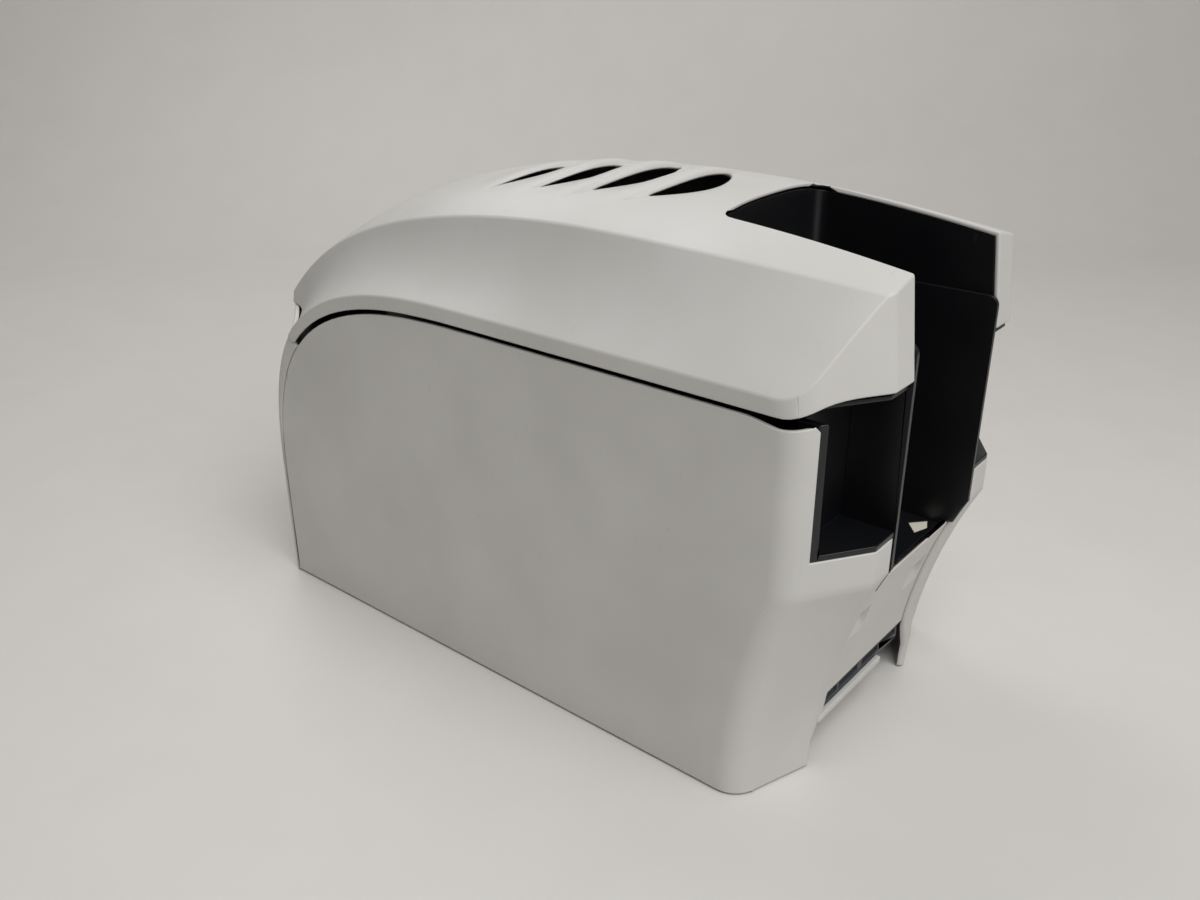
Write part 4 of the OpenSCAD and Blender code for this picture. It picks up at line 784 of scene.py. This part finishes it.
# plated or painted metal: rolled streaks along x
def rolledMetal(name, colour, roughness, metallic=1.0, streakMm=0.6):
    material, tree, at = newMaterial(name)
    stretch = addNode(tree, "ShaderNodeMapping", Vector=at)
    stretch.inputs["Scale"].default_value = (12, 1 / (streakMm * mm), 1 / (streakMm * mm))
    streak = addNode(tree, "ShaderNodeTexNoise", Vector=stretch.outputs[0], Scale=1.0, Detail=4.0)
    rough = addNode(tree, "ShaderNodeMapRange", Value=streak.outputs[0], i1=0.3, i2=0.7,
                    i3=roughness - 0.07, i4=roughness + 0.09)
    ramp = addNode(tree, "ShaderNodeMix", dict(data_type="RGBA"))
    tree.links.new(streak.outputs[0], ramp.inputs[0])
    base = np.array(hexColour(colour))
    ramp.inputs[6].default_value = tuple(base * [0.86, 0.86, 0.86, 1])
    ramp.inputs[7].default_value = tuple(np.clip(base * [1.1, 1.1, 1.1, 1], 0, 1))
    bump = addNode(tree, "ShaderNodeBump", Strength=0.15, Distance=0.00005, Height=streak.outputs[0])
    shader = addNode(tree, "ShaderNodeBsdfPrincipled", Base_Color=ramp.outputs[2], Roughness=rough.outputs[0],
                     Normal=bump.outputs[0], Metallic=metallic)
    closeMaterial(tree, shader)
    return material


shellPlastic = mouldedPlastic("mouldedAbsWarmGrey", "d3d1cd", "cbc9c4", 0.47, 0.45, 0.05, 0.735, 0.16)
blackPlastic = mouldedPlastic("mouldedAbsBlack", "0b0c0f", "0e0f12", 0.36, 0.5, 0.05, 0, 0.12, "5b5853")
greyPlastic = mouldedPlastic("mouldedAbsGrey", "4c4e50", "454749", 0.45, 0.5, 0.05)
nylon = mouldedPlastic("mouldedNylon", "e2ddcf", "d6d0c0", 0.42, 0.8, 0.03)
rubber = mouldedPlastic("groundRubber", "1f2022", "26272a", 0.75, 0.35, 0.08)
blueRubber = mouldedPlastic("siliconeRubber", "3d6f9c", "35638d", 0.4, 0.6, 0.04)
buttonPlastic = mouldedPlastic("mouldedButton", "2f679c", "2a5f92", 0.3, 0.6, 0.02)
steel = rolledMetal("zincPlatedSteel", "b4b7bb", 0.34)
brass = rolledMetal("turnedBrass", "c49a4a", 0.3)
alloy = rolledMetal("extrudedAluminium", "a9adb2", 0.38)
motorBlack = rolledMetal("coatedMotorCan", "2a2c30", 0.4, 0.3)
film = mouldedPlastic("dyedFilm", "2a2140", "332a4c", 0.2, 3.0, 0.02)
board = mouldedPlastic("solderMask", "17462c", "1d5435", 0.3, 1.2, 0.03)


# rollers are one node: rubber in the middle, a bare steel shaft, and a nylon gear at the end
def rollerMaterial(name, sleeve, tint, axisY, axisZ, shaft):
    material, tree, at = newMaterial(name)
    split = addNode(tree, "ShaderNodeSeparateXYZ", Vector=at)
    grain = addNode(tree, "ShaderNodeTexNoise", Vector=at, Scale=2500.0, Detail=2.0)
    bump = addNode(tree, "ShaderNodeBump", Strength=0.3, Distance=0.00005, Height=grain.outputs[0])
    mix = addNode(tree, "ShaderNodeMix", dict(data_type="RGBA"))
    tree.links.new(grain.outputs[0], mix.inputs[0])
    mix.inputs[6].default_value, mix.inputs[7].default_value = hexColour(sleeve), hexColour(tint)
    soft = addNode(tree, "ShaderNodeBsdfPrincipled", Base_Color=mix.outputs[2], Roughness=0.7,
                   Normal=bump.outputs[0])
    metal = addNode(tree, "ShaderNodeBsdfPrincipled", Base_Color=hexColour("b4b7bb"), Metallic=1.0,
                    Roughness=0.3, Normal=bump.outputs[0])
    gear = addNode(tree, "ShaderNodeBsdfPrincipled", Base_Color=hexColour("e2ddcf"), Roughness=0.42,
                   Normal=bump.outputs[0])
    shift = addNode(tree, "ShaderNodeVectorMath", dict(operation="SUBTRACT"), i0=at)
    shift.inputs[1].default_value = (0, axisY * mm, axisZ * mm)
    flat = addNode(tree, "ShaderNodeVectorMath", dict(operation="MULTIPLY"), i0=shift.outputs[0])
    flat.inputs[1].default_value = (0, 1, 1)
    radius = addNode(tree, "ShaderNodeVectorMath", dict(operation="LENGTH"), i0=flat.outputs[0])
    outShaft = addNode(tree, "ShaderNodeMath", dict(operation="GREATER_THAN"), i0=radius.outputs["Value"],
                       i1=(shaft + 0.2) * mm)
    atGear = addNode(tree, "ShaderNodeMath", dict(operation="GREATER_THAN"), i0=split.outputs[0], i1=0.0595)
    shaded = addNode(tree, "ShaderNodeMixShader", Fac=outShaft.outputs[0])
    tree.links.new(metal.outputs[0], shaded.inputs[1])
    cap = addNode(tree, "ShaderNodeMixShader", Fac=atGear.outputs[0])
    tree.links.new(soft.outputs[0], cap.inputs[1])
    tree.links.new(gear.outputs[0], cap.inputs[2])
    tree.links.new(cap.outputs[0], shaded.inputs[2])
    closeMaterial(tree, shaded)
    return material


slotMaterial = dict(shell_plastic=shellPlastic, black_plastic=blackPlastic, grey_plastic=greyPlastic,
                    sheet_steel=steel, roller_rubber=rubber, blue_rubber=blueRubber, white_nylon=nylon,
                    brass=brass, motor_black=motorBlack, ribbon_film=film, circuit_board=board,
                    head_alloy=alloy, button_plastic=buttonPlastic)
rollers = dict(pick_roller=("1f2022", "2a2b2e", -120, 101, 3), feed_roller=("1f2022", "2a2b2e", -60, 101, 3),
               platen_roller=("1f2022", "2a2b2e", 0, 101, 3), exit_roller=("1f2022", "2a2b2e", 60, 101, 3),
               cleaning_roller=("3d6f9c", "4a7cab", -60, 115.8, 2.5),
               pinch_roller=("1f2022", "2a2b2e", 60, 115.8, 2.5))
for name, piece in nodes.items():
    chosen = slotMaterial[slotOf[name]]
    if name in rollers:
        sleeve, tint, y, z, shaft = rollers[name]
        chosen = rollerMaterial(name.replace("_r", "R") + "Finish", sleeve, tint, y, z, shaft)
    piece.data.materials.clear()
    piece.data.materials.append(chosen)
for name, node in pieceNode.items():
    piece = bpy.data.objects[name]
    piece.data.materials.clear()
    # the plate under the pick hole, painted light through the hole, is pale nylon; every other piece takes its
    # node's finish
    piece.data.materials.append(nylon if name == "floorPlate" else slotMaterial[slotOf[node]])
print("materials done")

# floor, backdrop, lights and camera
stage = dict(paper="dddad6", fibre="d7d4cf", back=0.85, front=1.5, side=2.2, height=1.6, bend=0.45)
lens = dict(place=(-0.4731, -0.3820, 0.3917), azimuth=-50.35, elevation=24.77, roll=-0.28, focal=32.91)


# a floor that bends up into a backdrop: a straight run, a quarter circle and an upright
def makeStage():
    t = np.linspace(0, np.pi / 2, 24)
    run = np.concatenate([[-stage["front"] * 2], stage["back"] + stage["bend"] * np.sin(t)])
    rise = np.concatenate([[0], stage["bend"] * (1 - np.cos(t))])
    run, rise = np.append(run, run[-1]), np.append(rise, stage["height"] * 2)
    x = np.linspace(-stage["side"] * 2, stage["side"] * 2, 3)
    grid = np.stack(np.broadcast_arrays(x[:, None], run, rise), -1)
    azimuth = math.radians(lens["azimuth"])
    cosine, sine = math.cos(azimuth), math.sin(azimuth)
    turn = np.array([[cosine, -sine, 0], [sine, cosine, 0], [0, 0, 1]])
    floor = makePiece("stageFloor", [grid @ turn.T / mm], inside=(0, 0, -5000))
    material, tree, at = newMaterial("matteBackdropPaper")
    fibre = addNode(tree, "ShaderNodeTexNoise", Vector=at, Scale=18.0, Detail=6.0)
    mix = addNode(tree, "ShaderNodeMix", dict(data_type="RGBA"))
    tree.links.new(fibre.outputs[0], mix.inputs[0])
    mix.inputs[6].default_value = hexColour(stage["paper"])
    mix.inputs[7].default_value = hexColour(stage["fibre"])
    shader = addNode(tree, "ShaderNodeBsdfPrincipled", Base_Color=mix.outputs[2], Roughness=0.55)
    closeMaterial(tree, shader)
    floor.data.materials.append(material)


makeStage()


def addLight(name, at, target, size, power, colour="ffffff"):
    light = bpy.data.lights.new(name, "AREA")
    light.shape, light.size, light.energy = "SQUARE", size, power
    light.color = hexColour(colour)[:3]
    lamp = bpy.data.objects.new(name, light)
    bpy.context.scene.collection.objects.link(lamp)
    lamp.location = at
    lamp.rotation_euler = (Vector(target) - Vector(at)).to_track_quat("-Z", "Y").to_euler()
    return lamp


addLight("keyLight", (-0.45, -1.0, 1.62), (0, 0, 0.1), 1.5, 30)
addLight("backLight", (0.3, 1.0, 1.4), (0, 0, 0.1), 0.9, 6)

world = bpy.data.worlds.new("softRoom")
world.use_nodes = True
world.node_tree.nodes["Background"].inputs[0].default_value = hexColour("e6e7e8")
world.node_tree.nodes["Background"].inputs[1].default_value = 0.13
bpy.context.scene.world = world

azimuth, elevation, roll = (math.radians(lens[k]) for k in ("azimuth", "elevation", "roll"))
level = math.cos(elevation)
backward = Vector((math.sin(azimuth) * level, -math.cos(azimuth) * level, math.sin(elevation)))
right = (-backward).cross(Vector((0, 0, 1))).normalized()
up = right.cross(-backward)
rolledRight = math.cos(roll) * right + math.sin(roll) * up
rolledUp = -math.sin(roll) * right + math.cos(roll) * up
camera = bpy.data.objects.new("camera", bpy.data.cameras.new("camera"))
bpy.context.scene.collection.objects.link(camera)
camera.data.lens, camera.data.sensor_width = lens["focal"], 36
turned = Matrix((rolledRight, rolledUp, backward)).transposed().to_4x4()
camera.matrix_world = Matrix.Translation(Vector(lens["place"])) @ turned
camera.data.clip_start, camera.data.clip_end = 0.01, 30
bpy.context.scene.camera = camera
bpy.context.scene.view_settings.view_transform = "Standard"
